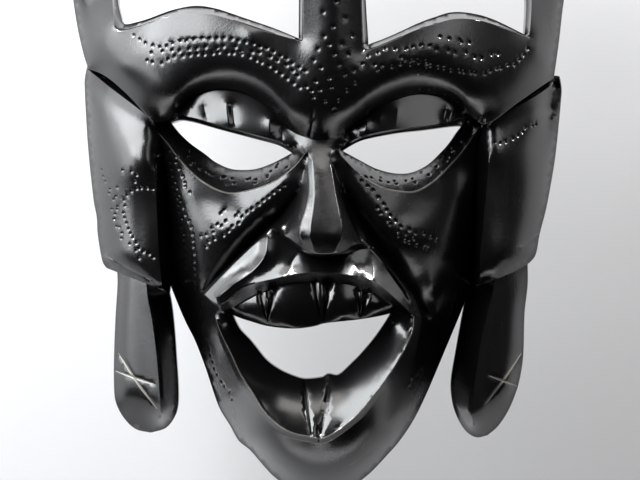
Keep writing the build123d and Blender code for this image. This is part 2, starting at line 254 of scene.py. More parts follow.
@dataclass
class Relief:
    """A carved front between lines, closed by walls and a hollowed back."""

    log: Log
    outline: list[Line]
    holes: list[list[Line]] = field(default_factory=list)
    lines: list[Line] = field(default_factory=list)
    grooves: list[Groove] = field(default_factory=list)
    punches: list[PunchRow] = field(default_factory=list)
    scattered: list[Point] = field(default_factory=list)
    gloss: list[list[Line]] = field(default_factory=list)
    grid: float = 2.3
    line_spacing: float = 1.3
    hole_spacing: float = 1.1
    tension: float = 0.004
    punch_radius: float = 1.1
    punch_depth: float = 0.8
    arris: float = 0.5  # width of the worn edge round the outline, the holes and each crease
    ceiling: float = 102.0  # nothing stands further forward than this
    ceiling_edge: float = 1.5  # how sharply the front bends over below it

    def __post_init__(self) -> None:
        """Starts the empty drawing."""
        self._xy: list[np.ndarray] = []
        self._edges: list[np.ndarray] = []
        self._depth: list[np.ndarray] = []
        self._kind: list[np.ndarray] = []
        self._count = 0

    def _draw(self, samples: np.ndarray, kind: int, linked: bool = True) -> None:
        """Adds samples of one line to the drawing, free, soft or broken."""
        n = len(samples)
        self._xy.append(samples[:, :2])
        self._depth.append(samples[:, 2] if samples.shape[1] > 2 else np.full(n, np.nan))
        self._kind.append(np.full(n, kind))
        if linked:
            first = np.arange(self._count, self._count + n - 1)
            self._edges.append(np.column_stack([first, first + 1]))
        self._count += n

    def _loop(self, lines: Iterable[Line], spacing: float) -> np.ndarray:
        """Draws a closed loop of lines and returns its polygon."""
        runs = [line.trace(spacing) for line in lines]
        ring = np.vstack([run[:-1] for run in runs])
        closed = np.vstack([ring, ring[:1]])
        self._draw(closed, BROKEN)
        return ring[:, :2]

    def _flank(self, creases: list[np.ndarray]) -> None:
        """Puts free points on both sides of each crease, which keep its worn edge narrow."""
        tree = planted(np.vstack(self._xy))
        kept = []
        for track in creases:
            side = sideways(track) * self.arris
            for p in np.vstack([track + side, track - side]):
                if tree.find((*p, 0))[2] > 0.8 * self.arris:
                    kept.append(p)
        if kept:
            self._draw(np.array(kept), FREE, linked=False)

    def marks(self) -> np.ndarray:
        """Centres of all punched dents, in the order they are struck."""
        rng = random.Random(7)
        found: list[tuple[float, float]] = []
        for row in self.punches:
            for x, z in Line(row.points).trace(row.pitch)[:, :2]:
                found.append((x + rng.gauss(0, row.wander), z + rng.gauss(0, row.wander)))
        found += [(p[0], p[1]) for p in self.scattered]
        return np.array(found) if found else np.zeros((0, 2))

    def _spread(self, polygon: np.ndarray, marks: np.ndarray) -> None:
        """Fills the outline with a hexagonal grid and rings round each dent."""
        tree = planted(np.vstack(self._xy))
        dents = planted(marks)
        rings = []
        for x, z in marks:
            for share, count in DENT_RINGS:
                radius = share * self.punch_radius
                turn = np.linspace(0, 2 * np.pi, count, endpoint=False) + radius
                ring = np.column_stack([x + radius * np.cos(turn), z + radius * np.sin(turn)])
                rings += [p for p in ring if tree.find((*p, 0))[2] > 0.35]
        low, high = polygon.min(0), polygon.max(0)
        rise = self.grid * math.sqrt(3) / 2
        rows = []
        for k, z in enumerate(np.arange(low[1], high[1], rise)):
            xs = np.arange(low[0] + (k % 2) * self.grid / 2, high[0], self.grid)
            rows.append(np.column_stack([xs, np.full(len(xs), z)]))
        grid = np.vstack(rows)
        grid = grid[inside(polygon, grid)]
        keep = []
        for x, z in grid:
            if tree.find((x, z, 0))[2] < 0.6 * self.line_spacing:
                continue
            if len(marks) and dents.find((x, z, 0))[2] < 1.9 * self.punch_radius:
                continue
            keep.append((x, z))
        for block in (rings, keep):
            if len(block):
                self._draw(np.array(block).reshape(-1, 2), FREE, linked=False)

    def _triangulate(
        self, polygon: np.ndarray, gaps: list[np.ndarray]
    ) -> tuple[np.ndarray, np.ndarray, np.ndarray, np.ndarray]:
        """Joins the drawn points into triangles, within the outline and outside the gaps.

        Args:
            polygon: the outline.
            gaps: the see-through holes.

        Returns:
            Points, triangles, and each point's wanted depth and kind.
        """
        xy = np.vstack(self._xy)
        depth = np.concatenate(self._depth)
        kind = np.concatenate(self._kind)
        edges = np.vstack(self._edges).tolist()
        made = delaunay_2d_cdt([Vector(p) for p in xy], edges, [], 0, 1e-4)
        points = np.array([tuple(v) for v in made[0]])
        triangles = np.array([t for t in made[2] if len(t) == 3])
        new_depth = np.full(len(points), np.nan)
        new_kind = np.zeros(len(points), int)
        for i, sources in enumerate(made[3]):
            strong = [s for s in sources if kind[s] > 0]
            if strong:
                best = max(strong, key=lambda s: kind[s])
                new_depth[i], new_kind[i] = depth[best], kind[best]
        centre = points[triangles].mean(axis=1)
        keep = inside(polygon, centre)
        for gap in gaps:
            keep &= ~inside(gap, centre)
        a, b, c = (points[triangles[:, k]] for k in range(3))
        area = (b[:, 0] - a[:, 0]) * (c[:, 1] - a[:, 1]) - (b[:, 1] - a[:, 1]) * (c[:, 0] - a[:, 0])
        triangles = np.where((area < 0)[:, None], triangles[:, ::-1], triangles)
        keep &= np.abs(area) > 1e-7
        triangles = triangles[keep]
        used = np.unique(triangles)
        renumber = np.full(len(points), -1)
        renumber[used] = np.arange(len(used))
        return points[used], renumber[triangles], new_depth[used], new_kind[used]

    def carve(self) -> Shell:
        """Draws everything, triangulates it and settles the surface.

        Returns:
            The open front as a Shell that can be closed.
        """
        polygon = self._loop(self.outline, self.line_spacing)
        gaps = [self._loop(hole, self.hole_spacing) for hole in self.holes]
        creases = []
        for line in self.lines:
            track = line.trace(self.line_spacing)
            self._draw(track, BROKEN if line.hold is Hold.CREASE else SOFT)
            if line.hold is Hold.CREASE:
                creases.append(track[:, :2])
        sunk: list[tuple[np.ndarray, Groove]] = []
        for groove in self.grooves:
            spacing = min(self.line_spacing, max(0.7, groove.width / 2))
            middle = Line(groove.points).trace(spacing)[:, :2]
            side = sideways(middle) * groove.half_width(np.linspace(0, 1, len(middle)))[:, None]
            for offset in (-1, 0, 1):
                self._draw(middle + offset * side, FREE)
            sunk.append((middle, groove))
        self._flank(creases)
        marks = self.marks()
        gone = ~inside(polygon, marks)
        for gap in gaps:
            gone |= inside(gap, marks)
        marks = marks[~gone]
        self._spread(polygon, marks)

        points, triangles, wanted, kind = self._triangulate(polygon, gaps)
        base = self.log.depth(points[:, 0])
        loose = settle(points, triangles, wanted - base, kind, self.tension)
        # The front bends over before it reaches the ceiling.
        below = self.ceiling_edge * (self.ceiling - base - loose)
        depth = self.ceiling - np.logaddexp(0.0, below) / self.ceiling_edge
        shell = Shell(points, depth, triangles, gaps, marks, self)
        for middle, groove in sunk:
            shell.sink(middle, groove)
        return shell


def sideways(track: np.ndarray) -> np.ndarray:
    """Unit vectors square to a path of (x, z, ...) rows, one for each."""
    along = np.gradient(track[:, :2], axis=0)
    along /= np.linalg.norm(along, axis=1)[:, None] + 1e-12
    return np.column_stack([-along[:, 1], along[:, 0]])


def settle(
    points: np.ndarray, triangles: np.ndarray, wanted: np.ndarray, kind: np.ndarray, tension: float
) -> np.ndarray:
    """Lets a thin sheet settle over the lines, breaking at the creases.

    Args:
        points: (n, 2) places.
        triangles: (m, 3) corners.
        wanted: height at the lines; not a number elsewhere.
        kind: how each point is held.
        tension: how much the sheet is stretched rather than bent.

    Returns:
        The settled height of each point.
    """
    n = len(points)
    a, b, c = (triangles[:, k] for k in range(3))
    rows, columns, weights = [], [], []
    area = np.zeros(n)
    for i, j, k in ((a, b, c), (b, c, a), (c, a, b)):
        u, v = points[i] - points[k], points[j] - points[k]
        cross = np.abs(u[:, 0] * v[:, 1] - u[:, 1] * v[:, 0]) + 1e-9
        weights.append(np.clip((u * v).sum(1) / cross, 0.03, 4.0) / 2)
        rows.append(i)
        columns.append(j)
        area += np.bincount(i, cross / 6, n)
    row, column, weight = np.concatenate(rows), np.concatenate(columns), np.concatenate(weights)
    degree = np.bincount(row, weight, n) + np.bincount(column, weight, n)

    def spread(x: np.ndarray) -> np.ndarray:
        """The sheet's Laplacian of x."""
        onward = np.bincount(row, weight * x[column], n)
        return degree * x - onward - np.bincount(column, weight * x[row], n)

    creased = kind == BROKEN
    bend = np.where(creased, 0.0, 1 / np.maximum(area, 1e-6))
    pull = np.where(kind == SOFT, 2.0, 0.0)
    target = np.where(np.isfinite(wanted), wanted, 0.0)

    def stiffness(x: np.ndarray) -> np.ndarray:
        """The force that the sheet and its soft lines put up against x."""
        flow = spread(x)
        return spread(bend * flow) + tension * flow + pull * x

    neighbours = np.bincount(row, weight**2 * bend[column], n)
    neighbours = neighbours + np.bincount(column, weight**2 * bend[row], n)
    scale = np.where(creased, 0.0, 1 / (bend * degree**2 + neighbours + tension * degree + pull))
    # A plain stretched sheet first, as a start for the bent one, each by conjugate gradients.
    x = np.where(kind > FREE, target, 0.0)
    for force, held, rounds in ((spread, kind > FREE, 250), (stiffness, creased, 1600)):
        x = np.where(held, target, x)
        load = pull * target if force is stiffness else np.zeros(n)
        guide = scale if force is stiffness else np.where(held, 0.0, 1 / degree)
        rest = np.where(held, 0.0, load - force(x))
        step = guide * rest
        gain = rest @ step
        for _ in range(rounds):
            pushed = np.where(held, 0.0, force(step))
            reach = gain / max(step @ pushed, 1e-30)
            x = x + reach * step
            rest = rest - reach * pushed
            eased = guide * rest
            fresh = rest @ eased
            if np.abs(reach * step).max() < 2e-5:
                break
            step = eased + fresh / max(gain, 1e-30) * step
            gain = fresh
    return x


CUT_GLOSS, HOLE_GLOSS, SIDE_GLOSS, BACK_GLOSS = 0.8, 0.9, 0.35, 0.1
BEVEL = ((0.45, 0.4), (1.0, 1.0))  # shares of the worn edge: outwards, backwards
WALL_STEPS = (0.35, 0.7)  # shares of the way from the worn edge to the back


@dataclass
class Shell:
    """A settled front that is closed into a solid and made a mesh."""

    points: np.ndarray
    depth: np.ndarray
    triangles: np.ndarray
    gaps: list[np.ndarray]
    marks: np.ndarray
    relief: Relief

    def __post_init__(self) -> None:
        """Starts with no unlacquered wood and no painted highlight showing."""
        self.middles = self.points[self.triangles].mean(axis=1)
        self.bare = np.zeros(len(self.triangles))
        self.cut = np.zeros(len(self.triangles))

    def sink(self, middle: np.ndarray, groove: Groove) -> None:
        """Sinks a groove below the settled surface."""
        gap, share = away(self.points, middle)
        reach = groove.half_width(share) + 0.05
        inner = np.clip(1 - gap / reach, 0, 1)
        self.depth = self.depth - groove.depth * inner
        gap, share = away(self.middles, middle)
        within = gap < groove.half_width(share)
        self.cut[within] = 1.0
        self.bare[within] = np.maximum(self.bare[within], groove.bare)

    def close(self, back: Hollow) -> tuple[np.ndarray, np.ndarray, np.ndarray, np.ndarray]:
        """Adds the walls and the back.

        Args:
            back: the shape hollowed behind the piece.

        Returns:
            Vertices in metres, triangles, and the gloss and the pale share of each triangle: unlacquered
            wood in scratches, painted highlight along rims.
        """
        x, z = self.points.T
        tri = self.triangles
        n = len(self.points)
        hollow = np.maximum(np.minimum(back.depth(x, z), self.depth - back.least_wall), 0.0)
        directed = np.vstack([tri[:, [0, 1]], tri[:, [1, 2]], tri[:, [2, 0]]])
        twin = {(int(i), int(j)) for i, j in directed}
        rim = np.array([(i, j) for i, j in directed if (int(j), int(i)) not in twin])
        outward = np.zeros((n, 2))
        run = self.points[rim[:, 1]] - self.points[rim[:, 0]]
        right = np.column_stack([run[:, 1], -run[:, 0]])
        right /= np.linalg.norm(right, axis=1)[:, None] + 1e-9
        for k in (0, 1):
            for axis in (0, 1):
                outward[:, axis] += np.bincount(rim[:, k], right[:, axis], n)
        outward /= np.linalg.norm(outward, axis=1)[:, None] + 1e-9
        edge = np.unique(rim)
        place = np.full(n, -1)
        place[edge] = np.arange(len(edge))
        m = len(edge)
        push = self.relief.arris * outward[edge]
        rings = []
        for share, drop in BEVEL:
            xy = self.points[edge] + push * share
            rings.append(np.column_stack([xy, self.depth[edge] - self.relief.arris * drop * 1.2]))
        face = rings[-1][:, 2]
        behind = hollow[edge]
        for share in WALL_STEPS:
            rings.append(np.column_stack([self.points[edge] + push, face + (behind - face) * share]))
        back_xy = self.points.copy()
        back_xy[edge] += push
        front = np.column_stack([self.points, self.depth])
        solid = np.vstack([front, *rings, np.column_stack([back_xy, hollow])])
        starts = [n + m * k for k in range(len(rings))]
        back_start = n + m * len(rings)
        i, j = rim[:, 0], rim[:, 1]
        walls = []
        levels = [(i, j)]
        levels += [(start + place[i], start + place[j]) for start in starts]
        levels.append((back_start + i, back_start + j))
        for (p, q), (r, s) in zip(levels, levels[1:]):
            walls += [np.column_stack([q, p, r]), np.column_stack([q, r, s])]
        faces = np.vstack([tri, *walls, back_start + tri[:, ::-1]])
        shine = CUT_GLOSS * self.cut
        for area in self.relief.gloss:
            ring = np.vstack([line.trace(self.relief.line_spacing)[:, :2] for line in area])
            shine[inside(ring, self.middles)] = 1.0
        middle = self.points[rim].mean(axis=1) + 1.2 * right
        in_gap = np.zeros(len(rim), bool)
        for gap in self.gaps:
            in_gap |= inside(gap, middle)
        side = np.where(in_gap, HOLE_GLOSS, SIDE_GLOSS)
        gloss = np.concatenate([shine, *([side] * len(walls)), np.full(len(tri), BACK_GLOSS)])
        bare = np.concatenate([self.bare, np.zeros(len(faces) - len(tri))])
        vertices = np.column_stack([solid[:, 0], -solid[:, 2], solid[:, 1]]) * MM
        return vertices, faces, gloss, bare


@dataclass(frozen=True)
class Hollow:
    """The back of a piece: an elliptic hollow whose size follows the height."""

    levels: tuple[Point, ...]  # (height, half width, depth)
    least_wall: float = 7.0
    facet: float = 0.5  # depth of the gouge's facets

    def depth(self, x: np.ndarray, z: np.ndarray) -> np.ndarray:
        """How far the hollow reaches in from the planed back."""
        level = np.asarray(self.levels, float)
        wide = np.interp(z, level[:, 0], level[:, 1])
        deep = np.interp(z, level[:, 0], level[:, 2])
        round_part = deep * np.sqrt(np.clip(1 - (x / np.maximum(wide, 1e-3)) ** 2, 0, 1))
        across, down = np.sin(x / 4.3 + 0.8 * np.sin(z / 9.0)), np.sin(z / 7.1 + np.sin(x / 6.0))
        gouge = np.abs(across) + np.abs(down)
        return np.where(round_part > 1.0, round_part - self.facet * gouge, 0.0)


# ---------------------------------------------------------------------------------------
# Shaders
# ---------------------------------------------------------------------------------------
class Wire:
    """A shader socket that can be used in an expression."""

    def __init__(self, tree: bpy.types.NodeTree, socket: bpy.types.NodeSocket) -> None:
        """Wraps one output socket of a node tree."""
        self.tree = tree
        self.socket = socket

    def _maths(self, operation: str, first: Wire | float, second: Wire | float) -> Wire:
        """Adds one Math node."""
        node = self.tree.nodes.new("ShaderNodeMath")
        node.operation = operation
        for slot, value in zip(node.inputs, (first, second)):
            plug(slot, value)
        return Wire(self.tree, node.outputs[0])

    def __add__(self, other: Wire | float) -> Wire:
        """Sum."""
        return self._maths("ADD", self, other)

    def __radd__(self, other: float) -> Wire:
        """Sum with the number first."""
        return self._maths("ADD", other, self)

    def __sub__(self, other: Wire | float) -> Wire:
        """Difference."""
        return self._maths("SUBTRACT", self, other)

    def __rsub__(self, other: float) -> Wire:
        """Difference with the number first."""
        return self._maths("SUBTRACT", other, self)

    def __mul__(self, other: Wire | float) -> Wire:
        """Product."""
        return self._maths("MULTIPLY", self, other)

    def __rmul__(self, other: float) -> Wire:
        """Product with the number first."""
        return self._maths("MULTIPLY", other, self)


def plug(slot: bpy.types.NodeSocket, value: object) -> None:
    """Links a Wire into a socket, or sets the socket to a plain value."""
    if isinstance(value, Wire):
        value.tree.links.new(value.socket, slot)
    else:
        slot.default_value = value


class Recipe:
    """A material being written: its tree, its shader and its common sockets."""

    def __init__(self, name: str) -> None:
        """Starts a material with a Principled shader."""
        self.material = bpy.data.materials.new(name)
        self.material.use_nodes = True
        self.tree = self.material.node_tree
        self.shader = self.tree.nodes["Principled BSDF"]
        self.place = self.node("ShaderNodeTexCoord", output="Object")

    def node(
        self,
        kind: str,
        settings: dict[str, object] | None = None,
        output: str | int = 0,
        **values: object,
    ) -> Wire:
        """Adds a node.

        Args:
            kind: the node's type.
            settings: properties set before its sockets.
            output: name or index of the wanted output.
            **values: links or values for its input sockets, by name with _ for a space, or by
                number as n0, n1 and so on.

        Returns:
            The wanted output as a Wire.
        """
        made = self.tree.nodes.new(kind)
        for key, value in (settings or {}).items():
            setattr(made, key, value)
        for key, value in values.items():
            number = key[1:] if key[0] == "n" else ""
            plug(made.inputs[int(number) if number.isdigit() else key.replace("_", " ")], value)
        return Wire(self.tree, made.outputs[output])

    def ramp(self, share: Wire, low: float, high: float) -> Wire:
        """Ramps from black to white between two shares."""
        ramped = self.node("ShaderNodeValToRGB", {}, 0, Fac=share)
        first, last = ramped.socket.node.color_ramp.elements
        for stop, at, tone in ((first, low, 0.0), (last, high, 1.0)):
            stop.position = at
            stop.color = (tone, tone, tone, 1)
        return ramped

    def feed(self, socket: str, value: Wire | float | tuple[float, ...]) -> None:
        """Links or sets one socket of the shader."""
        plug(self.shader.inputs[socket], value)

    def mix(self, share: Wire | float, first: object, second: object) -> Wire:
        """Mixes two colours."""
        node = self.tree.nodes.new("ShaderNodeMix")
        node.data_type = "RGBA"
        for number, value in ((0, share), (6, first), (7, second)):
            plug(node.inputs[number], value)
        return Wire(self.tree, node.outputs[2])

    def noise(self, scale: float, detail: float, place: Wire | None = None) -> Wire:
        """Adds a noise over the object, or over another place."""
        at = place or self.place
        return self.node("ShaderNodeTexNoise", {}, "Fac", Vector=at, Scale=scale, Detail=detail)

    def bump(self, height: Wire, distance: float, strength: float) -> None:
        """Feeds the shader's Normal from a height."""
        bumped = self.node("ShaderNodeBump", {}, 0, Strength=strength, Distance=distance, Height=height)
        self.feed("Normal", bumped)


@dataclass(frozen=True)
class Lacquer:
    """Black lacquer on carved wood: satin outside, glossy in the cuts."""

    black: Colour = (0.0018, 0.0018, 0.0020)
    worn: Colour = (0.0050, 0.0048, 0.0052)
    pale: Colour = (0.34, 0.31, 0.27)
    satin: float = 0.26
    gloss: float = 0.19
    specular: float = 0.95
    grain_scale: float = 420.0
    cloud_scale: float = 38.0
    skin_scale: float = 110.0
    spray_scale: float = 1100.0
    dust_scale: float = 1500.0
    wear: float = 0.8  # how far the worn tone goes in
    dust: float = 0.035
    # strength of the pale tone: unlacquered wood in scratches, and a painted highlight along the eye and
    # lip rims
    bare_and_highlight_strength: float = 0.8
    relief: float = 0.00008  # height of the finest roughness in metres

    def material(self, name: str) -> bpy.types.Material:
        """Writes the material.

        Args:
            name: the material's name.

        Returns:
            The finished material.
        """
        recipe = Recipe(name)
        shine = recipe.node("ShaderNodeAttribute", {"attribute_name": "gloss"}, "Fac")
        bare = recipe.node("ShaderNodeAttribute", {"attribute_name": "bare"}, "Fac")
        along = recipe.node("ShaderNodeMapping", {}, 0, Vector=recipe.place, Scale=(1.0, 1.0, 0.07))
        grain = recipe.noise(self.grain_scale, 5.0, along)
        cloud = recipe.noise(self.cloud_scale, 4.0)
        skin = recipe.noise(self.skin_scale, 2.0)
        spray = recipe.noise(self.spray_scale, 2.0)
        flecks = recipe.ramp(recipe.noise(self.dust_scale, 2.0), 0.68, 0.80)
        tone = recipe.mix(cloud * self.wear, (*self.black, 1), (*self.worn, 1))
        tone = recipe.mix(flecks * self.dust, tone, (*self.pale, 1))
        # Pale where the mesh marks it: unlacquered wood in the pendants' scratched crosses, and painted
        # highlights along the eye and lip rims.
        tone = recipe.mix(bare * self.bare_and_highlight_strength, tone, (*self.pale, 1))
        recipe.feed("Base Color", tone)
        dull = 1.0 - shine
        satin = self.satin + 0.06 * (cloud - 0.5) + 0.05 * (grain - 0.5)
        polish = self.gloss + 0.08 * (cloud - 0.5)
        recipe.feed("Roughness", dull * satin + shine * polish + bare * 0.3)
        recipe.feed("Specular IOR Level", self.specular)
        rough = dull * (0.25 * grain + spray)
        height = rough + 0.35 * skin + shine * (0.10 * spray + 0.12 * grain)
        recipe.bump(height, self.relief, 0.7)
        return recipe.material


@dataclass(frozen=True)
class Steel:
    """Dulled zinc-plated steel of the hanger."""

    light: Colour = (0.52, 0.50, 0.46)
    dark: Colour = (0.20, 0.17, 0.14)

    def material(self, name: str) -> bpy.types.Material:
        """Writes the material."""
        recipe = Recipe(name)
        blotch = recipe.noise(420.0, 6.0)
        fine = recipe.noise(2600.0, 3.0)
        stain = recipe.ramp(blotch, 0.42, 0.68)
        recipe.feed("Base Color", recipe.mix(stain, (*self.light, 1), (*self.dark, 1)))
        recipe.feed("Metallic", 1.0 - stain * 0.35)
        recipe.feed("Roughness", 0.30 + 0.25 * blotch)
        recipe.bump(fine + blotch, 0.00003, 0.4)
        return recipe.material


@dataclass(frozen=True)
class Plaster:
    """The pale floor and backdrop, clear from behind so the back can be seen."""

    tint: Colour = (0.80, 0.80, 0.81)

    def material(self, name: str) -> bpy.types.Material:
        """Writes the material."""
        recipe = Recipe(name)
        behind = recipe.node("ShaderNodeNewGeometry", {}, "Backfacing")
        clear = recipe.node("ShaderNodeBsdfTransparent")
        coated = Wire(recipe.tree, recipe.shader.outputs[0])
        sided = recipe.node("ShaderNodeMixShader", {}, 0, n0=behind, n1=coated, n2=clear)
        recipe.tree.links.new(sided.socket, recipe.tree.nodes["Material Output"].inputs["Surface"])
        darker = tuple(0.97 * part for part in self.tint)
        cloud = recipe.noise(6.0, 3.0)
        recipe.feed("Base Color", recipe.mix(cloud, (*self.tint, 1), (*darker, 1)))
        recipe.feed("Roughness", 0.7)
        return recipe.material


# ---------------------------------------------------------------------------------------
# Punched dents
# ---------------------------------------------------------------------------------------
def apply_modifier(piece: bpy.types.Object, modifier: bpy.types.Modifier) -> None:
    """Makes a modifier's result the piece's own mesh, and takes the modifier off."""
    graph = bpy.context.evaluated_depsgraph_get()
    result = bpy.data.meshes.new_from_object(piece.evaluated_get(graph))
    piece.modifiers.remove(modifier)
    old = piece.data
    piece.data = result
    bpy.data.meshes.remove(old)
    result.name = piece.name


class PunchTool:
    """A Geometry Nodes tree that presses a round dent at every marked point."""

    def __init__(self) -> None:
        """Builds the tree once for all pieces."""
        self.tree = bpy.data.node_groups.new("punched_dents", "GeometryNodeTree")
        face = self.tree.interface
        face.new_socket("Geometry", in_out="INPUT", socket_type="NodeSocketGeometry")
        self.marks = face.new_socket("Marks", in_out="INPUT", socket_type="NodeSocketObject")
        self.radius = face.new_socket("Radius", in_out="INPUT", socket_type="NodeSocketFloat")
        self.depth = face.new_socket("Depth", in_out="INPUT", socket_type="NodeSocketFloat")
        self.finish = face.new_socket("Finish", in_out="INPUT", socket_type="NodeSocketMaterial")
        face.new_socket("Geometry", in_out="OUTPUT", socket_type="NodeSocketGeometry")
        self._wire()

    def _add(self, kind: str, **settings: object) -> bpy.types.Node:
        """Adds one node with its settings."""
        node = self.tree.nodes.new(kind)
        for key, value in settings.items():
            setattr(node, key, value)
        return node

    def _wire(self) -> None:
        """Links proximity to the marks into a push along the normal."""
        start, end = self._add("NodeGroupInput"), self._add("NodeGroupOutput")
        info = self._add("GeometryNodeObjectInfo", transform_space="ORIGINAL")
        near = self._add("GeometryNodeProximity", target_element="POINTS")
        share = self._add("ShaderNodeMath", operation="DIVIDE")
        square = self._add("ShaderNodeMath", operation="POWER")
        square.inputs[1].default_value = 2.2
        left = self._add("ShaderNodeMath", operation="SUBTRACT", use_clamp=True)
        left.inputs[0].default_value = 1.0
        push = self._add("ShaderNodeMath", operation="MULTIPLY")
        back = self._add("ShaderNodeMath", operation="MULTIPLY")
        back.inputs[1].default_value = -1.0
        normal = self._add("GeometryNodeInputNormal")
        scale = self._add("ShaderNodeVectorMath", operation="SCALE")
        move = self._add("GeometryNodeSetPosition")
        real = self._add("GeometryNodeRealizeInstances")
        dress = self._add("GeometryNodeSetMaterial")
        joints = (
            (start.outputs["Marks"], info.inputs["Object"]),
            (info.outputs["Geometry"], near.inputs[0]),
            (near.outputs["Distance"], share.inputs[0]),
            (start.outputs["Radius"], share.inputs[1]),
            (share.outputs[0], square.inputs[0]),
            (square.outputs[0], left.inputs[1]),
            (left.outputs[0], push.inputs[0]),
            (start.outputs["Depth"], push.inputs[1]),
            (push.outputs[0], back.inputs[0]),
            (normal.outputs[0], scale.inputs[0]),
            (back.outputs[0], scale.inputs["Scale"]),
            (start.outputs["Geometry"], move.inputs["Geometry"]),
            (scale.outputs[0], move.inputs["Offset"]),
            (move.outputs[0], real.inputs[0]),
            (real.outputs[0], dress.inputs["Geometry"]),
            (start.outputs["Finish"], dress.inputs["Material"]),
            (dress.outputs[0], end.inputs[0]),
        )
        for source, target in joints:
            self.tree.links.new(source, target)

    def strike(
        self,
        piece: bpy.types.Object,
        marks: np.ndarray,
        radius: float,
        depth: float,
        finish: bpy.types.Material,
    ) -> None:
        """Presses the dents into a piece and leaves it a plain mesh.

        Args:
            piece: the object to mark.
            marks: (n, 3) dent centres in metres.
            radius: a dent's radius in metres.
            depth: a dent's depth in metres.
            finish: the material of the result.
        """
        dots = bpy.data.meshes.new(piece.name + "_marks")
        dots.from_pydata([tuple(p) for p in marks], [], [])
        holder = bpy.data.objects.new(piece.name + "_marks", dots)
        bpy.context.scene.collection.objects.link(holder)
        modifier = piece.modifiers.new("dents", "NODES")
        modifier.node_group = self.tree
        modifier[self.marks.identifier] = holder
        modifier[self.radius.identifier] = radius
        modifier[self.depth.identifier] = depth
        modifier[self.finish.identifier] = finish
        apply_modifier(piece, modifier)
        bpy.data.objects.remove(holder)
        bpy.data.meshes.remove(dots)


# ---------------------------------------------------------------------------------------
# Wooden pieces
# ---------------------------------------------------------------------------------------
@dataclass
class Workshop:
    """What the pieces share: the punch and the finishes."""

    punch: PunchTool
    lacquer: bpy.types.Material


@dataclass(frozen=True)
class Pocket:
    """A rectangular pocket cut into the planed back."""

    half_width: float
    low: float
    high: float
    depth: float

    def cut(self, piece: bpy.types.Object) -> None:
        """Cuts it out of a piece.

        Args:
            piece: the object to cut, which is left a plain mesh.
        """
        spans = (-self.depth, 2.0), (self.low, self.high), (-self.half_width, self.half_width)
        corners = [(x * MM, y * MM, z * MM) for y, z, x in itertools.product(*spans)]
        sides = [(0, 1, 3, 2), (4, 6, 7, 5), (0, 4, 5, 1), (2, 3, 7, 6), (0, 2, 6, 4), (1, 5, 7, 3)]
        mesh = bpy.data.meshes.new("pocket")
        mesh.from_pydata(corners, [], sides)
        block = bpy.data.objects.new("pocket", mesh)
        bpy.context.scene.collection.objects.link(block)
        step = piece.modifiers.new("pocket", "BOOLEAN")
        step.operation, step.solver, step.object = "DIFFERENCE", "EXACT", block
        apply_modifier(piece, step)
        piece.data.shade_smooth()
        piece.data.set_sharp_from_angle(angle=SHARP)
        bpy.data.objects.remove(block)
        bpy.data.meshes.remove(mesh)


def wooden_piece(
    name: str, relief: Relief, back: Hollow, shop: Workshop, pocket: Pocket | None = None
) -> bpy.types.Object:
    """Makes one wooden piece from its relief.

    Args:
        name: the piece's name, which is the node that it stands for with _carved added.
        relief: lines of its front.
        back: its hollow.
        shop: the shared tools.
        pocket: a pocket in its back.

    Returns:
        The finished object.
    """
    shell = relief.carve()
    vertices, faces, gloss, bare = shell.close(back)
    mesh = bpy.data.meshes.new(name)
    mesh.from_pydata(vertices.tolist(), [], faces.tolist())
    for label, values in (("gloss", gloss), ("bare", bare)):
        layer = mesh.attributes.new(label, "FLOAT", "FACE")
        layer.data.foreach_set("value", values.astype(np.float32))
    mesh.shade_smooth()
    mesh.set_sharp_from_angle(angle=SHARP)
    piece = bpy.data.objects.new(name, mesh)
    bpy.context.scene.collection.objects.link(piece)
    mesh.materials.append(shop.lacquer)
    if len(shell.marks):
        tree = planted(shell.points)
        deep = np.array([shell.depth[tree.find((*m, 0))[1]] for m in shell.marks])
        spots = np.column_stack([shell.marks[:, 0], -deep, shell.marks[:, 1]]) * MM
        shop.punch.strike(piece, spots, relief.punch_radius * MM, relief.punch_depth * MM, shop.lacquer)
    if pocket:
        pocket.cut(piece)
    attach(piece, "mask")
    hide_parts(name.removesuffix("_carved"))
    LOG.info("%s: %d triangles, %d dents", name, len(faces), len(shell.marks))
    return piece


def lines(*tracks: tuple[Point, ...], hold: Hold = Hold.CREASE, rounded: bool = True) -> list[Line]:
    """Several lines with the same hold."""
    return [Line(track, hold, rounded) for track in tracks]


def lifted(log: Log, points: tuple[Point, ...], lift: float) -> tuple[Point, ...]:
    """Points (x, z) or (x, z, own lift) as (x, z, depth), set off from the log's front."""
    return tuple((x, z, float(log.depth(x)) + lift + sum(own)) for x, z, *own in points)


def shifted(points: tuple[Point, ...], dx: float, dz: float) -> tuple[Point, ...]:
    """The same (x, z) points moved."""
    return tuple((x + dx, z + dz) for x, z in points)


# The brows' lower edges, which the crown and the lids share.
BROW_LEFT = (
    (-74, 173), (-69, 177), (-65, 181.5), (-60, 185), (-52, 188), (-43, 188.3), (-35, 186), (-28, 182),
    (-22, 176.5), (-15, 168.5), (-7, 161),
)
BROW_RIGHT = (
    (76, 173), (72, 176), (66, 180.5), (60, 184), (52, 186), (45, 186), (38, 184), (31, 181),
    (24, 176.5), (16, 170), (7, 161),
)


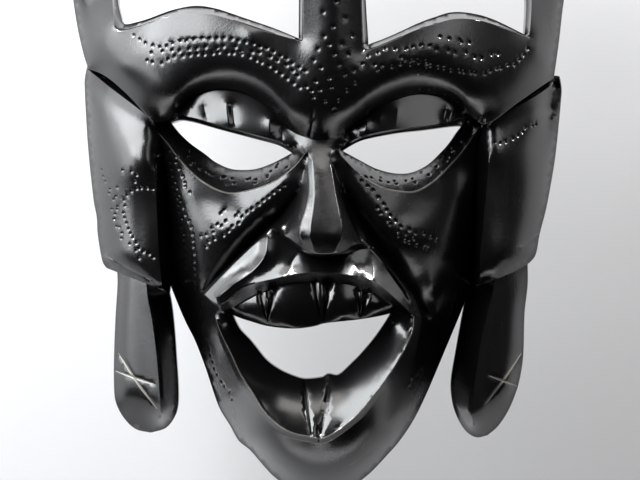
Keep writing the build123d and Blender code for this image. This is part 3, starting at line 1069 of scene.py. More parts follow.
@dataclass
class Crown:
    """Forehead, brow arches and the pierced headdress over them."""

    log: Log = CROWN_LOG

    def _outline(self) -> list[Line]:
        """The crown's edge: flared sides, dome, ledges and both brows."""
        on = self.log
        flare = (-112, 199.2), (-114.5, 207), (-117.4, 219), (-119.5, 232), (-121, 247), (-121.5, 262)
        side = tuple((x, z, max(d, 20.0)) for x, z, d in lifted(on, flare, 0))
        dome = (
            (-121.5, 262, 20), (-119, 283, 24), (-106, 305, 30), (-80, 321, 42), (-42, 330, 52),
            (0, 332, 55),
        )
        right_dome = tuple((-x, z, d) for x, z, d in dome[::-1])
        right_side = (
            (121.5, 262, 20), (120, 245, 20), (117.5, 228, 22), (115.5, 212, 27), (113, 194.5, 32),
        )
        right_ledge = lifted(
            on,
            (
                (113, 194.5), (107, 190.6), (102.7, 187.6), (95, 182.2), (91.3, 179.4), (84, 173.8),
                (79, 171.5),
            ),
            -4,
        )
        left_ledge = lifted(
            on,
            ((-80, 172.6), (-83.5, 176.4), (-91.3, 185), (-99.9, 192.8), (-106, 196.8), (-112, 199.2)),
            -4,
        )
        brow_right = lifted(on, BROW_RIGHT, -12)
        brow_left = lifted(on, BROW_LEFT[::-1], -12)
        tip = ((7, 161, 72), (3, 157.5, 76), (0, 156, 78), (-3, 157.5, 76), (-7, 161, 72))
        parts = [side, dome, right_dome, right_side, right_ledge]
        parts += [
            (right_ledge[-1], brow_right[0]), brow_right, tip, brow_left,
            (brow_left[-1], left_ledge[0]), left_ledge,
        ]
        joined = []
        for k, part in enumerate(parts):
            end = parts[(k + 1) % len(parts)][0]
            joined.append(Line((*part[:-1], end)))
        return joined

    def _openings(self) -> tuple[list[list[Line]], list[Line], list[list[Line]]]:
        """Both crown openings: see-through edge, front rim and glossy walls."""
        on = self.log
        left = (
            (
                (-99, 218), (-96, 216.3), (-86, 218.5), (-74, 222.5), (-62, 224.5), (-50, 223),
                (-35, 218.5), (-20, 213.5), (-8.5, 210.5),
            ),
            ((-8.5, 210.5), (-8, 240), (-8.5, 277)),
            ((-8.5, 277), (-35, 276), (-62, 270), (-84, 259), (-99, 246)),
            ((-99, 246), (-100, 232), (-99, 218)),
        )
        right = (
            (
                (20.5, 205.5), (30, 209), (38, 212.5), (46, 216), (55, 219), (65, 221.5), (76, 221),
                (87, 218), (101, 213.5),
            ),
            ((101, 213.5), (102, 230), (101, 246)),
            ((101, 246), (86, 259), (64, 270), (42, 276), (20.5, 278)),
            ((20.5, 278), (19.5, 240), (20.5, 205.5)),
        )
        holes, rims, shine = [], [], []
        for sides in (left, right):
            ring = np.vstack([Line(s).trace(2.0)[:-1] for s in sides])
            middle = ring.mean(axis=0)
            walls = []
            for k, s in enumerate(sides):
                rims.append(Line(lifted(on, s, -1.2)))
                inner = []
                for x, z in s:
                    towards = np.array([middle[0] - x, middle[1] - z])
                    towards /= np.linalg.norm(towards)
                    reach, rise = (3.2, 1) if k == 0 else (1.6, towards[1])
                    inner.append((x + towards[0] * reach, z + reach * rise))
                walls.append(tuple(inner))
            fixed = []
            for k, wall in enumerate(walls):
                end = walls[(k + 1) % 4][0]
                fixed.append(Line(lifted(on, (*wall[:-1], end), -15)))
            holes.append(fixed)
            shine.append([Line(side) for side in sides])
        return holes, rims, shine

    def build(self, shop: Workshop) -> bpy.types.Object:
        """Carves and dresses the crown.

        Args:
            shop: the shared tools.

        Returns:
            The finished object.
        """
        on = self.log
        holes, rims, shine = self._openings()
        swell = Hold.SWELL
        inner = lines(
            lifted(on, shifted(BROW_LEFT[1:-1], 0.3, 3.2), -6.5),
            lifted(on, shifted(BROW_RIGHT[1:-1], -0.3, 3.2), -6.5),
            lifted(on, shifted(BROW_LEFT[1:-1], 0.5, 7.5), -1.6),
            lifted(on, shifted(BROW_RIGHT[1:-1], -0.5, 7.5), -1.6),
            lifted(on, shifted(BROW_LEFT[1:-1], 0.5, 15), 1.4),
            lifted(on, shifted(BROW_RIGHT[1:-1], -0.5, 15), 1.4),
            lifted(on, ((-33, 214), (-32, 206), (-27, 197)), 2.0),
            lifted(on, ((-85, 190), (-97, 198), (-108, 205)), 0.5),
            lifted(on, ((85, 186), (97, 194), (108, 201)), 0.5),
            lifted(on, ((-104, 212), (-85, 208), (-60, 212), (-35, 208), (-12, 200)), 1.5),
            lifted(on, ((104, 208), (85, 205), (60, 211), (35, 203), (22, 198)), 1.5),
            lifted(
                on,
                ((-110, 225), (-110, 250), (-106, 272), (-92, 292), (-64, 306), (-30, 313), (0, 315)),
                -2,
            ),
            lifted(
                on,
                ((110, 221), (110, 250), (106, 272), (92, 292), (64, 306), (30, 313), (0, 315)),
                -2,
            ),
            lifted(on, ((-104, 255), (-84, 272), (-60, 283), (-30, 289), (5, 291)), 1),
            lifted(on, ((104, 255), (84, 272), (60, 283), (30, 289), (5, 291)), 1),
            ((5, 180, 86.5), (6, 200, 88), (6, 230, 87), (6, 262, 85)),
            hold=swell,
        )
        grooves = [
            Groove(((-2.2, 179), (-3.0, 173), (-4.8, 166)), 1.3, 0.5),
            Groove(
                (
                    (-106, 248), (-90, 268), (-66, 281.5), (-36, 288), (5, 289.5), (40, 288),
                    (70, 281.5), (92, 268), (107, 248),
                ),
                2.6, 1.3,
            ),
            Groove(
                (
                    (-112, 256), (-100, 281), (-74, 297), (-40, 305), (0, 307.5), (40, 305), (74, 297),
                    (100, 281), (112, 256),
                ),
                2.6, 1.3,
            ),
        ]
        rows = [
            PunchRow(
                (
                    (-89.5, 214), (-82, 209.5), (-75, 208.2), (-66, 211), (-56, 212), (-45, 211.5),
                    (-35, 210), (-22, 205), (-12, 199), (-7, 196),
                ),
                3.5, 0.25,
            ),
            PunchRow(
                ((-80, 205), (-66, 207), (-50, 208.2), (-34, 206), (-20, 200.5), (-10, 193)), 4.4, 0.5,
            ),
            PunchRow(
                (
                    (-83, 201.5), (-76, 201), (-67, 203.5), (-60, 204), (-47, 205), (-36, 204),
                    (-26, 199), (-18, 194), (-10, 188),
                ),
                3.5, 0.35,
            ),
            PunchRow(
                (
                    (38, 202.5), (49, 199.7), (62, 197), (72, 196), (80, 196), (88.6, 198.7),
                    (94, 201.6), (100, 207.4),
                ),
                3.2, 0.4,
            ),
            PunchRow(
                ((23, 203), (30, 205.5), (40, 207.5), (52, 208), (63.6, 206.4), (75, 203.5), (86, 204)),
                4.2, 0.6,
            ),
            PunchRow(((27, 197), (36, 199), (45, 200.3), (50, 201)), 3.8, 0.6),
            PunchRow(((58, 212), (66, 211.5), (73, 209.5)), 3.8, 0.8),
            PunchRow(
                (
                    (-104, 262), (-88, 280), (-62, 292), (-30, 298), (4, 299.5), (36, 298), (66, 292),
                    (92, 280), (106, 262),
                ),
                3.4, 0.3,
            ),
        ]
        scatter = [
            (-7.5, 196), (-6.5, 188.5), (-2, 191), (-4, 186.5), (-3, 183.5), (0, 187), (4.5, 192.5),
            (5.5, 188.5), (2.6, 181.5), (9, 182), (7, 177.6), (13, 187), (17, 190.5), (12, 194.5),
            (9.4, 199), (16.5, 196.5), (20.4, 199.5), (7, 204), (4.5, 208.5), (2, 212.5), (-3, 201),
            (-1, 206.5), (10.5, 209), (13.5, 204), (0.5, 197.5), (26, 199), (15.5, 213), (6.5, 217),
            (12, 221.5), (1.5, 224), (8, 229), (14.5, 233),
        ]
        relief = Relief(on, self._outline(), holes, rims + inner, grooves, rows, scatter, shine)
        back = Hollow((
            (150, 62, 55), (200, 86, 60), (214, 96, 62), (246, 99, 60), (272, 84, 52), (281, 60, 42),
            (282, 1, 1),
        ))
        pocket = Pocket(half_width=16.2, low=281.8, high=326.0, depth=6.0)
        return wooden_piece("crown_carved", relief, back, shop, pocket)


@dataclass
class Eye:
    """One eye: a slit cut through, a faceted upper lid and a dished lower one."""

    brow: tuple[Point, ...]
    top: tuple[Point, ...]
    bottom: tuple[Point, ...]
    rim: tuple[Point, ...]
    facets: tuple[tuple[float, float], ...]  # (x at the lid's edge, height of the ridge there)
    log: Log = CROWN_LOG
    lid_edge: float = 9.5  # the lid's lower edge lies this far behind the log
    lid_back: float = 13.5  # and the lid under the brow at least this far
    lid_slope: float = 0.27  # the taller the lid, the further back its top
    slit_back: float = 14.0

    def hole(self) -> list[Line]:
        """The slit's see-through edge."""
        return [Line(lifted(self.log, self.top, -self.slit_back)), Line(self.bottom)]

    def lines(self) -> list[Line]:
        """The lids: their edges, the facets' ridges and the shelf inside the rim."""
        on = self.log
        edge = shifted(self.top[1:-1], 0, 1.4)
        tops = np.array(sorted(self.top))
        hem = Line(lifted(on, edge, 0)).trace(0.5)
        arch = Line(lifted(on, self.brow, 0)).trace(0.5)
        under = tuple((x, z + 2.5, -self._set_back(x, z, tops)) for x, z in self.brow[1:-1])
        drawn = [
            Line(lifted(on, under, 0)),
            Line(lifted(on, edge, -self.lid_edge)),
            Line(self.rim),
        ]
        for x, rise in self.facets:
            foot = hem[np.abs(hem[:, 0] - x).argmin()]
            head = arch[np.abs(arch[:, 0] - x * 1.05).argmin()]
            behind = self._set_back(float(head[0]), float(head[1]), tops)
            middle = (foot[:2] * 0.45 + head[:2] * 0.55, -(behind + self.lid_edge) / 2 + rise)
            low = (foot[:2] * 0.84 + head[:2] * 0.16, -self.lid_edge - 0.9 + rise * 0.7)
            ridge = tuple((float(x), float(z), lift) for (x, z), lift in (middle, low))
            drawn.append(Line(lifted(on, ridge, 0), rounded=False))
        return drawn

    def _set_back(self, x: float, z: float, tops: np.ndarray) -> float:
        """How far the lid lies behind the log at a point of the brow."""
        tall = z - float(np.interp(x, tops[:, 0], tops[:, 1]))
        return max(self.lid_back, self.lid_edge + self.lid_slope * tall)

    def shine(self) -> list[Line]:
        """The glossy upper lid."""
        lid = tuple((p[0], p[1]) for p in self.brow)
        return [Line(shifted(lid, 0, 3)), Line(self.top)]


@dataclass
class Face:
    """Cheeks, eyes, nose, lips, teeth and jaw."""

    log: Log = FACE_LOG
    crest: Line = Line((
        (-55.6, 89.6, 69), (-48.5, 84.8, 75.5), (-41, 90.3, 79), (-36, 93.7, 81.5), (-29, 95.8, 84),
        (-22, 97.3, 85.5), (-16, 98.8, 87), (-8, 100, 88), (0, 100.3, 88.5), (12, 99.4, 88),
        (24, 97, 85.5), (33, 90.5, 81), (39.5, 84.3, 77), (43.5, 80.5, 73),
    ))
    lip_left: Line = Line(((-23.5, 120.8, 77.5), (-40, 105.4, 75), (-55.6, 89.6, 69)))
    lip_right: Line = Line((
        (24, 111.6, 76), (29.5, 105.5, 76), (34.5, 98.5, 75), (39.5, 91.5, 73), (43.5, 80.5, 73),
    ))
    nose_foot: Line = Line((
        (-23.5, 120.8, 77.5), (-17, 116.3, 79), (-9.6, 110.7, 81), (-3, 107.6, 82.5), (7, 107.6, 82.5),
        (12.6, 109, 81), (18.5, 110.9, 78.5), (24, 111.6, 76),
    ))
    gums: Line = Line((
        (-47.5, 81, 70), (-43, 82.6, 73), (-37, 86, 76), (-30, 89.8, 78.5), (-24, 92, 80),
        (-18, 94, 81), (-9, 95.2, 82), (-1, 95.3, 82.3), (10, 95, 82), (20, 92.3, 80), (30, 87.3, 77),
        (37, 83, 73.5), (41, 80.5, 70),
    ))
    teeth: Line = Line((
        (-43, 81, 69), (-39, 79.2, 72), (-33, 77.3, 75), (-26, 75.3, 77), (-18, 74.2, 79.5),
        (-11, 74, 81), (-3, 75, 81.5), (3, 76.6, 81.5), (18, 78.2, 79), (29, 80, 75), (35, 81.5, 71),
    ))
    bowl: Line = Line((
        (35, 81.5, 71), (31, 75, 66), (26, 68, 66), (20, 61, 67.5), (15, 56, 68.5), (9, 50.8, 69.5),
        (4, 51.2, 69.5), (1, 49.6, 69.5), (-7, 48.8, 69.5), (-12, 50, 69), (-19, 53, 68.5),
        (-26, 58, 67.5), (-33, 66.5, 65.5), (-39, 73, 65), (-43, 81, 69),
    ))
    rim: Line = Line((
        (-50, 79, 68), (-48.5, 74, 72.5), (-46, 68.5, 75.5), (-42, 60.5, 79), (-38, 52, 82),
        (-32, 42.8, 85), (-26, 33.5, 87), (-19, 27, 88.3), (-12, 23.6, 89), (-4, 22, 89.3),
        (1, 21.3, 89.3), (8, 24.8, 89), (18, 32.8, 87.7), (24, 40, 86), (31, 49, 83.5), (37, 58, 80.5),
        (42, 67, 77), (44.3, 73, 73.5), (45, 79, 69),
    ))

    def _outline(self) -> list[Line]:
        """The face's edge, hidden behind the crown and the ear panels where they meet."""
        top = (
            (-77, 196, 38), (-60, 197, 51), (-40, 197, 61), (0, 197, 67), (40, 197, 61), (60, 197, 51),
            (77, 196, 38),
        )
        right = ((77, 196, 38), (77.5, 170, 46), (77, 150, 43), (75, 120, 38), (74, 99, 36))
        jaw = (
            (74, 99, 36), (72, 92, 35), (67, 79, 33), (62, 67, 33), (54, 48, 34), (50, 39, 34),
            (45, 29, 35), (39, 20, 37), (33, 13, 39), (22, 2, 44), (10, -5.5, 47), (0, -7.5, 48),
        )
        left_jaw = (
            (0, -7.5, 48), (-10, -5.5, 47), (-22, 2, 44), (-33, 14, 39), (-39, 19, 37), (-43, 26, 35),
            (-48, 34, 34), (-51, 42, 34), (-55, 54, 33), (-60, 67, 33), (-65, 77, 33), (-70, 89, 35),
            (-73, 97, 36),
        )
        left = ((-73, 97, 36), (-75, 120, 38), (-77, 150, 43), (-78, 170, 46), (-77, 196, 38))
        return lines(top[::-1], left[::-1], left_jaw[::-1], jaw[::-1], right[::-1])

    def _eyes(self) -> list[Eye]:
        """Both eyes, which the carver didn't make alike."""
        left = Eye(
            BROW_LEFT,
            (
                (-12.5, 157.4), (-15, 159), (-18.5, 161), (-22, 162.3), (-31, 164.7), (-48, 169.3),
                (-60, 172.8), (-67, 174), (-73, 172.8),
            ),
            (
                (-73, 172.8, 46), (-68.5, 167.2, 46), (-63, 162, 47), (-56, 157, 48), (-50, 152.5, 49),
                (-42, 149.3, 51), (-32, 149.2, 54), (-24, 151.6, 57), (-17, 155, 60),
                (-12.5, 157.4, 64),
            ),
            (
                (-80.5, 169.8, 50), (-74, 163, 53), (-69, 156.3, 56), (-63, 149.5, 61),
                (-56, 143.5, 65), (-48, 139.2, 69), (-41, 138, 71.2), (-32, 139.8, 73.5),
                (-23, 143, 76), (-16, 147.5, 78), (-11, 152, 80), (-7, 157, 82),
            ),
            ((-61, 0.6), (-54, -0.9), (-43.5, 0.9), (-41, -1.0), (-23.5, 1.8), (-18, -0.6)),
        )
        right = Eye(
            BROW_RIGHT,
            ((10, 158.3), (14, 161), (21, 164.2), (36, 167.3), (50, 169), (62, 170.8), (70, 171.8)),
            (
                (70, 171.8, 46), (66.5, 167.5, 46), (63, 162.5, 47), (59, 158, 48), (52, 151.5, 50),
                (44, 147.7, 52), (36, 147.3, 54), (27, 149.5, 57), (18, 154, 61), (10, 158.3, 66),
            ),
            (
                (8, 159, 82), (12, 154, 80), (20, 146.3, 76.8), (29, 141, 74.5), (38, 139, 72),
                (46, 139, 69.5), (54, 143.5, 65.5), (61, 150, 60.5), (69, 159, 53), (77, 170.5, 50),
            ),
            ((13.5, -2.0), (21.5, 1.9), (28, 0.7), (36, 0.8), (59, -1.2), (61.5, 0.2), (68, 0.3)),
        )
        return [left, right]

    def _nose(self) -> list[Line]:
        """Two ridges, the wings' raised edges with a step beyond them, and the tip."""
        creased = lines(
            (
                (-6.5, 156, 80), (-5.4, 147, 85.6), (-5.2, 138, 90), (-6.8, 130, 93.6), (-9, 123, 96.4),
                (-9.2, 117.5, 97.2), (-7, 112.5, 95.5),
            ),
            (
                (-3.6, 154, 83.5), (-3.2, 147, 87.2), (-2.8, 138, 91.8), (-3.4, 130, 96),
                (-4.4, 123, 99.4), (-4.4, 117.5, 100.8), (-3, 112, 98.5),
            ),
            (
                (4, 156, 81), (6, 147, 86), (7.4, 138, 90.5), (9, 130, 94.5), (10.2, 123, 97.8),
                (10, 117, 99.5), (7.5, 111.5, 98),
            ),
            (
                (-7.5, 150, 80), (-8.6, 142, 81), (-10, 134, 83), (-12, 127, 85.5),
                (-14.3, 120.7, 87.6), (-16, 117.4, 87),
            ),
            (
                (-9.6, 141.2, 77.5), (-11.6, 133.6, 78), (-13.8, 127, 79.5), (-16.4, 121, 80.5),
                (-19, 118.9, 79.5),
            ),
            ((7, 150, 80.5), (9.2, 142, 80.5), (10.8, 132, 82.5), (14.3, 121, 86), (17.3, 113.8, 85.5)),
            ((10.9, 140.5, 76.5), (12.9, 131, 76), (16.6, 121.5, 77), (20, 114.4, 77.5)),
            (
                (-23.5, 122, 78), (-16, 117.4, 87), (-9, 112, 93), (-3, 109.2, 96), (7, 109.2, 96),
                (12, 110.5, 92), (17.3, 113.8, 85.5), (23.8, 113.2, 77),
            ),
        )
        rolled = lines(
            ((0.6, 150, 86), (1.6, 138, 92), (2.2, 126, 97.6), (2.6, 118, 101.2)),
            ((-9.5, 136, 86), (-11, 126, 90), (-12.5, 119, 92)),
            ((11.2, 133, 86), (13, 123, 90), (14.5, 116, 91)),
            hold=Hold.SWELL,
        )
        return creased + rolled

    def _folds(self) -> list[Line]:
        """The deep folds beside the nose; the right one runs on as a cut in the cheek."""
        creased = lines(
            ((-11, 138.3, 75), (-18, 130, 70), (-24.8, 122.6, 66.5), (-41, 106.8, 63), (-57.3, 90.5, 56)),
            (
                (12.5, 138, 74), (18, 128, 70.5), (24, 119, 67.5), (31, 109, 65.5), (37, 101, 63),
                (44, 92, 57), (52, 80, 50),
            ),
            (
                (18.5, 124, 73.5), (23.5, 115, 75.5), (29.5, 106.9, 76.3), (35, 99.4, 75.5),
                (40, 92.4, 73.5), (43.5, 87, 71),
            ),
        )
        rolled = lines(
            (
                (-8.6, 143, 79), (-14, 141, 78), (-26, 132, 77), (-39, 119.5, 74.5), (-46, 112.5, 71),
                (-53, 102, 64), (-57, 93, 58),
            ),
            ((-12.5, 139.2, 77), (-25, 129, 75), (-38, 116.4, 72), (-45, 108.8, 68.5), (-52, 99, 62)),
            (
                (9, 143, 78), (14, 142, 78), (20, 135, 77.5), (29, 121.5, 76), (36, 114, 74),
                (42, 109, 71), (50, 101.5, 64), (55, 92, 57),
            ),
            (
                (13, 140.5, 77), (19, 132, 75.5), (28, 118.4, 73.5), (35, 110.6, 71.5),
                (41, 105.5, 68.5), (48, 98.5, 62),
            ),
            hold=Hold.SWELL,
        )
        return creased + rolled

    def _lips(self) -> list[Line]:
        """The upper lip's hollowed facets over the teeth, and the lower lip's sharp rim."""
        creased = [self.crest, self.lip_left, self.lip_right, self.nose_foot, self.gums, self.rim]
        creased += lines(
            (
                (-25, 117.4, 79.8), (-25.8, 109.5, 82.2), (-30.5, 102.3, 82.6), (-40.5, 95, 80.6),
                (-48, 89, 77),
            ),
            ((-10.2, 110, 81.2), (-13.5, 104.5, 82.5), (-15.5, 99.4, 86.4)),
            ((15.4, 109.6, 80.2), (17, 103, 82.5), (19, 98.4, 86)),
            ((24, 110.6, 76.5), (24.7, 104, 80), (26, 96.8, 84.4)),
            (
                (-50.8, 77, 65), (-47.8, 67.5, 70), (-43.8, 59, 73), (-39.8, 50.5, 76),
                (-33.5, 40.8, 79.5), (-27, 31.2, 82), (-19.5, 24.6, 84), (-12, 21.2, 85),
                (-4, 19.5, 85.3), (1.5, 18.9, 85.3), (9, 22.6, 85), (19.6, 30.8, 83), (25.8, 38.4, 81),
                (33, 47.6, 78), (39, 56.8, 74.5), (44, 66, 71), (46.3, 73, 68), (47, 78, 65),
            ),
            (
                (-48, 76, 69.5), (-44.7, 68, 74), (-40.7, 60, 77.8), (-36.8, 51.8, 80.8),
                (-30.9, 42.8, 83.8), (-25, 34.1, 85.8), (-18.4, 28.2, 87.1),
            ),
            (
                (9, 27, 87.6), (17.2, 34.2, 86.5), (22.9, 41.2, 84.8), (29.8, 50, 82.2),
                (35.7, 58.8, 79.2), (40.6, 67.4, 75.8), (42.7, 73, 72.3),
            ),
        )
        rolled = lines(
            ((-29.5, 112, 77.8), (-38, 103.5, 76.6), (-50, 90.8, 73.2)),
            ((-19, 112, 80.3), (-21.5, 104.5, 81.6), (-32, 98.6, 82.2), (-42, 92, 79.2)),
            ((20, 108.5, 78.8), (21.5, 102, 81)),
            ((-38, 80.4, 76), (-30.5, 83, 79.5), (-29, 78.6, 78.8)),
            ((-18, 92, 82.2), (-15.5, 84, 83.7), (-16, 76.4, 82.4)),
            ((8, 92, 83.2), (10.5, 86, 84.2), (11.5, 79, 83.2)),
            ((27, 86, 79.6), (28.5, 82, 78.6)),
            hold=Hold.SWELL,
        )
        return creased + rolled

    def _cheeks(self) -> list[Line]:
        """Soft swells of the cheeks, the jaw and the chin."""
        return lines(
            ((-66, 138, 58.5), (-65, 122, 57), (-63, 106, 55), (-60, 94, 53), (-55, 80, 53), (-50, 66, 55)),
            ((66, 138, 58), (65, 122, 57), (63, 106, 54.5), (58, 94, 52), (53, 80, 52), (49, 66, 54)),
            ((-73, 140, 48), (-72, 122, 44), (-70, 104, 43)),
            ((73, 140, 48), (72, 122, 44), (70, 104, 43)),
            ((-56, 136, 65), (-48, 131, 69.5), (-40, 128, 72.5)),
            ((56, 136, 65), (48, 131, 69.5), (39, 127, 73)),
            ((-34, 22, 60), (-18, 8, 66), (0, 3, 68), (18, 8, 66), (34, 22, 60)),
            ((-17.5, 144.5, 78.4), (-30, 135, 75.6)),
            ((17.5, 144.5, 78.4), (30, 134, 75.6)),
            hold=Hold.SWELL,
        )

    def _grooves(self) -> list[Groove]:
        """Notches that part the teeth, and two cuts that run down the lower lip. Pale lines along the eye
        rims and the lower lip's rim are painted highlights.
        """
        notches = [
            (((-28.8, 91.5), (-27.6, 85), (-25.7, 78.2)), 3.2, 1.6),
            (((-22.3, 93.2), (-23.4, 86), (-25.1, 77.8)), 5.0, 2.4),
            (((-2.6, 95), (-1.8, 88), (-0.2, 79.8)), 3.0, 1.7),
            (((3.8, 95), (3.2, 88), (1.9, 79.8)), 6.2, 2.8),
            (((17.8, 91.8), (18.4, 86), (19.1, 79.8)), 2.6, 1.6),
            (((22.3, 90.2), (21.4, 86), (19.8, 80.6)), 4.6, 2.2),
        ]
        cuts = [
            Groove(((-7.6, 47.6), (-6.6, 38), (-4.2, 22.8)), 2.2, 1.9),
            Groove(((4.2, 46), (2.6, 36), (0.2, 23.6)), 4.2, 1.5),
            Groove(((-1.2, 27), (-0.6, 20.4)), 3.4, 1.6),
        ]
        # Painted highlights: pale lines laid as very shallow grooves along the lower eye rims and the lower
        # lip's rim.
        highlighted_rims = [eye.rim for eye in self._eyes()] + [self.rim.points]
        cuts += [Groove(tuple((x, z) for x, z, _ in edge), 0.9, 0.02, bare=0.30) for edge in highlighted_rims]
        return [Groove(track, width, depth, pointed=True) for track, width, depth in notches] + cuts

    def _punches(self) -> list[PunchRow]:
        """Rows of dents on the cheeks and the jaw."""
        return [
            PunchRow(
                (
                    (-72, 153), (-70, 144), (-66, 132), (-62, 123), (-60.3, 110), (-60, 96), (-60, 87),
                    (-58, 75), (-54, 64), (-50, 52), (-44, 43), (-42, 40),
                ),
                3.3, 0.25,
            ),
            PunchRow(
                ((-73, 148), (-70.5, 140), (-67, 128), (-65.5, 118), (-65, 108), (-65, 99)), 3.3, 0.35,
            ),
            PunchRow(((-74.5, 157), (-71, 158), (-68, 152), (-66.5, 146), (-63, 138)), 3.2, 0.6),
            PunchRow(
                ((-17, 141.6), (-22, 138.3), (-28, 134), (-35, 128.6), (-40, 123.8), (-46, 117.8)),
                3.1, 0.25,
            ),
            PunchRow(((-39, 129), (-45, 124.5), (-50, 118.5), (-55, 111.5)), 3.3, 0.7),
            PunchRow(((-44, 130.5), (-51, 124.5), (-57, 116.5)), 3.5, 0.9),
            PunchRow(
                ((20, 143.8), (26, 138.3), (30, 132.5), (35, 125.5), (42, 121.3), (51, 118), (56, 116)),
                3.5, 0.35,
            ),
            PunchRow(((27, 130), (32, 125), (37, 120.5), (44, 117)), 3.4, 0.6),
            PunchRow(((37, 116.8), (43, 114), (48, 112.4), (53, 111.5)), 3.5, 0.5),
            PunchRow(((50, 52), (45, 49), (43, 44)), 3.8, 0.6),
            PunchRow(((-66, 158), (-56, 150), (-46, 144.5), (-34, 144), (-23, 148), (-15, 153)), 2.6, 1.3),
            PunchRow(((67, 163), (58, 152), (48, 145), (36, 142.8), (24, 147.5), (15, 154.5)), 2.6, 1.3),
        ]

    def build(self, shop: Workshop) -> bpy.types.Object:
        """Carves and dresses the face.

        Args:
            shop: the shared tools.

        Returns:
            The finished object.
        """
        eyes = self._eyes()
        drawn = [line for eye in eyes for line in eye.lines()]
        drawn += self._nose() + self._folds() + self._lips() + self._cheeks()
        mouth = [self.teeth, self.bowl]
        shine = [eye.shine() for eye in eyes]
        shine += [
            [self.crest, self.lip_right.backwards(), self.nose_foot.backwards(), self.lip_left],
            [self.gums, self.teeth.backwards()],
            [self.rim, self.bowl],
            lines(((-9.4, 141), (-13.8, 127), (-19, 118.9), (-24.8, 122.6), (-18, 130)), rounded=False),
        ]
        holes = [*(eye.hole() for eye in eyes), mouth]
        relief = Relief(
            self.log, self._outline(), holes, drawn, self._grooves(), self._punches(), gloss=shine
        )
        back = Hollow((
            (14, 1, 1), (17, 22, 28), (50, 40, 47), (95, 55, 52), (150, 61, 55), (168, 66, 56),
            (180, 74, 60), (230, 76, 62),
        ))
        return wooden_piece("face_carved", relief, back, shop)


@dataclass
class EarPanel:
    """A board-like ear panel beside a cheek."""

    right: bool
    log: Log = EAR_LOG

    def build(self, shop: Workshop) -> bpy.types.Object:
        """Carves and dresses the panel.

        Args:
            shop: the shared tools.

        Returns:
            The finished object.
        """
        on = self.log
        if self.right:
            lip = ((81, 172), (84.5, 173.6), (94.7, 179.8), (104.9, 185.6), (112.8, 191), (115.8, 191))
            side = (
                (116.2, 195), (117, 190), (116.8, 184), (114.2, 158), (111.5, 142), (109, 130),
                (106, 119), (104, 109), (101, 105),
            )
            foot = ((101, 105), (94, 101), (84, 97), (75, 93.5))
            inner = (
                (75, 93.5, 40), (74, 110, 41), (74, 130, 42), (75.5, 150, 45), (77.5, 165, 50),
                (79, 176, 48),
            )
            ridge = ((77, 96), (77, 109), (78.3, 122), (80, 140), (81.5, 156))
            fades = ((82, 160, 55), (81.5, 168, 52.5))
            grooves = [Groove(((106, 118.5), (101, 115), (95.5, 112.2)), 1.0, 0.5)]
            rows = [PunchRow(((84, 162), (90, 163), (96, 166.6), (101, 170), (105, 172.3)), 3.1, 0.4)]
        else:
            lip = ((-81, 173.5), (-82, 174.6), (-89, 180), (-102.2, 190), (-110, 196.3), (-112.6, 197.6))
            side = (
                (-112.8, 200), (-114, 194), (-114, 189), (-113.3, 175), (-112, 158), (-109.5, 136),
                (-107.8, 127), (-107.2, 118), (-105, 106), (-103, 102.5),
            )
            foot = ((-103, 102.5), (-91, 98), (-79, 93.3), (-73, 90.5))
            inner = (
                (-73, 90.5, 40), (-72.8, 110, 41), (-74, 130, 42), (-75.5, 150, 46), (-77, 165, 50),
                (-77, 177, 48),
            )
            ridge = ((-76, 93), (-77.3, 109), (-78.4, 130), (-79, 150))
            fades = ((-79.2, 156, 55), (-79.5, 167, 52.5))
            grooves = [Groove(((-103.6, 108.6), (-92, 101.5), (-80, 95.8)), 0.9, 0.45)]
            rows = [
                PunchRow(
                    (
                        (-80.4, 140), (-85, 140.8), (-90, 139.7), (-93, 136.8), (-94, 131),
                        (-93.6, 126), (-92, 120.5), (-89, 115), (-86, 111), (-80, 107.5),
                    ),
                    2.8, 0.3,
                ),
                PunchRow(
                    ((-97, 140), (-97.8, 133), (-97, 125), (-95, 117), (-91, 112), (-87, 108)),
                    3.4, 0.8,
                ),
                PunchRow(
                    ((-106, 150), (-102.5, 142.6), (-100.6, 136.8), (-99, 130), (-98.5, 122)), 3.2, 0.5,
                ),
                PunchRow(((-95, 149), (-89, 147.5), (-88, 143)), 3.6, 0.6),
            ]
        tuck = tuple((x, z + 4.0) for x, z in lip)
        outline = [
            Line(lifted(on, tuck, -11)),
            Line(tuple((x, z, max(min(float(on.depth(x)), 40.0) - 2.0, 20.0)) for x, z in side)),
            Line(lifted(on, foot, -4)),
            Line(inner),
        ]
        ends = [line.points[0] for line in outline]
        outline = [Line((*line.points[:-1], ends[(k + 1) % 4])) for k, line in enumerate(outline)]
        sign = 1 if self.right else -1
        shoulder = tuple((x - sign * 3.4, z) for x, z in side[2:-1])
        edge = Line(lifted(on, ridge, -1.0))
        fade = Line((*lifted(on, ridge[-1:], -1.0), *fades), Hold.SWELL)
        drawn = [edge, fade, Line(lifted(on, lip, -1.6))]
        drawn += lines(
            lifted(on, shoulder, 0.2),
            lifted(on, tuple((x, z + 3.6) for x, z in foot[:-1]), 0.4),
            lifted(on, tuple((x + sign * 1.0, z - 4.5) for x, z in lip[1:-1]), -1.4),
            lifted(on, tuple((x + sign * 1.5, z - 12.0) for x, z in lip[1:-1]), 1.0),
            hold=Hold.SWELL,
        )
        shine = [[edge, Line(inner[::-1])]]
        name = "ear_panel_right" if self.right else "ear_panel_left"
        relief = Relief(
            on, outline, lines=drawn, grooves=grooves, punches=rows, gloss=shine, punch_radius=0.95
        )
        back = Hollow(((80, 98, 38), (210, 98, 38)))
        return wooden_piece(name + "_carved", relief, back, shop)


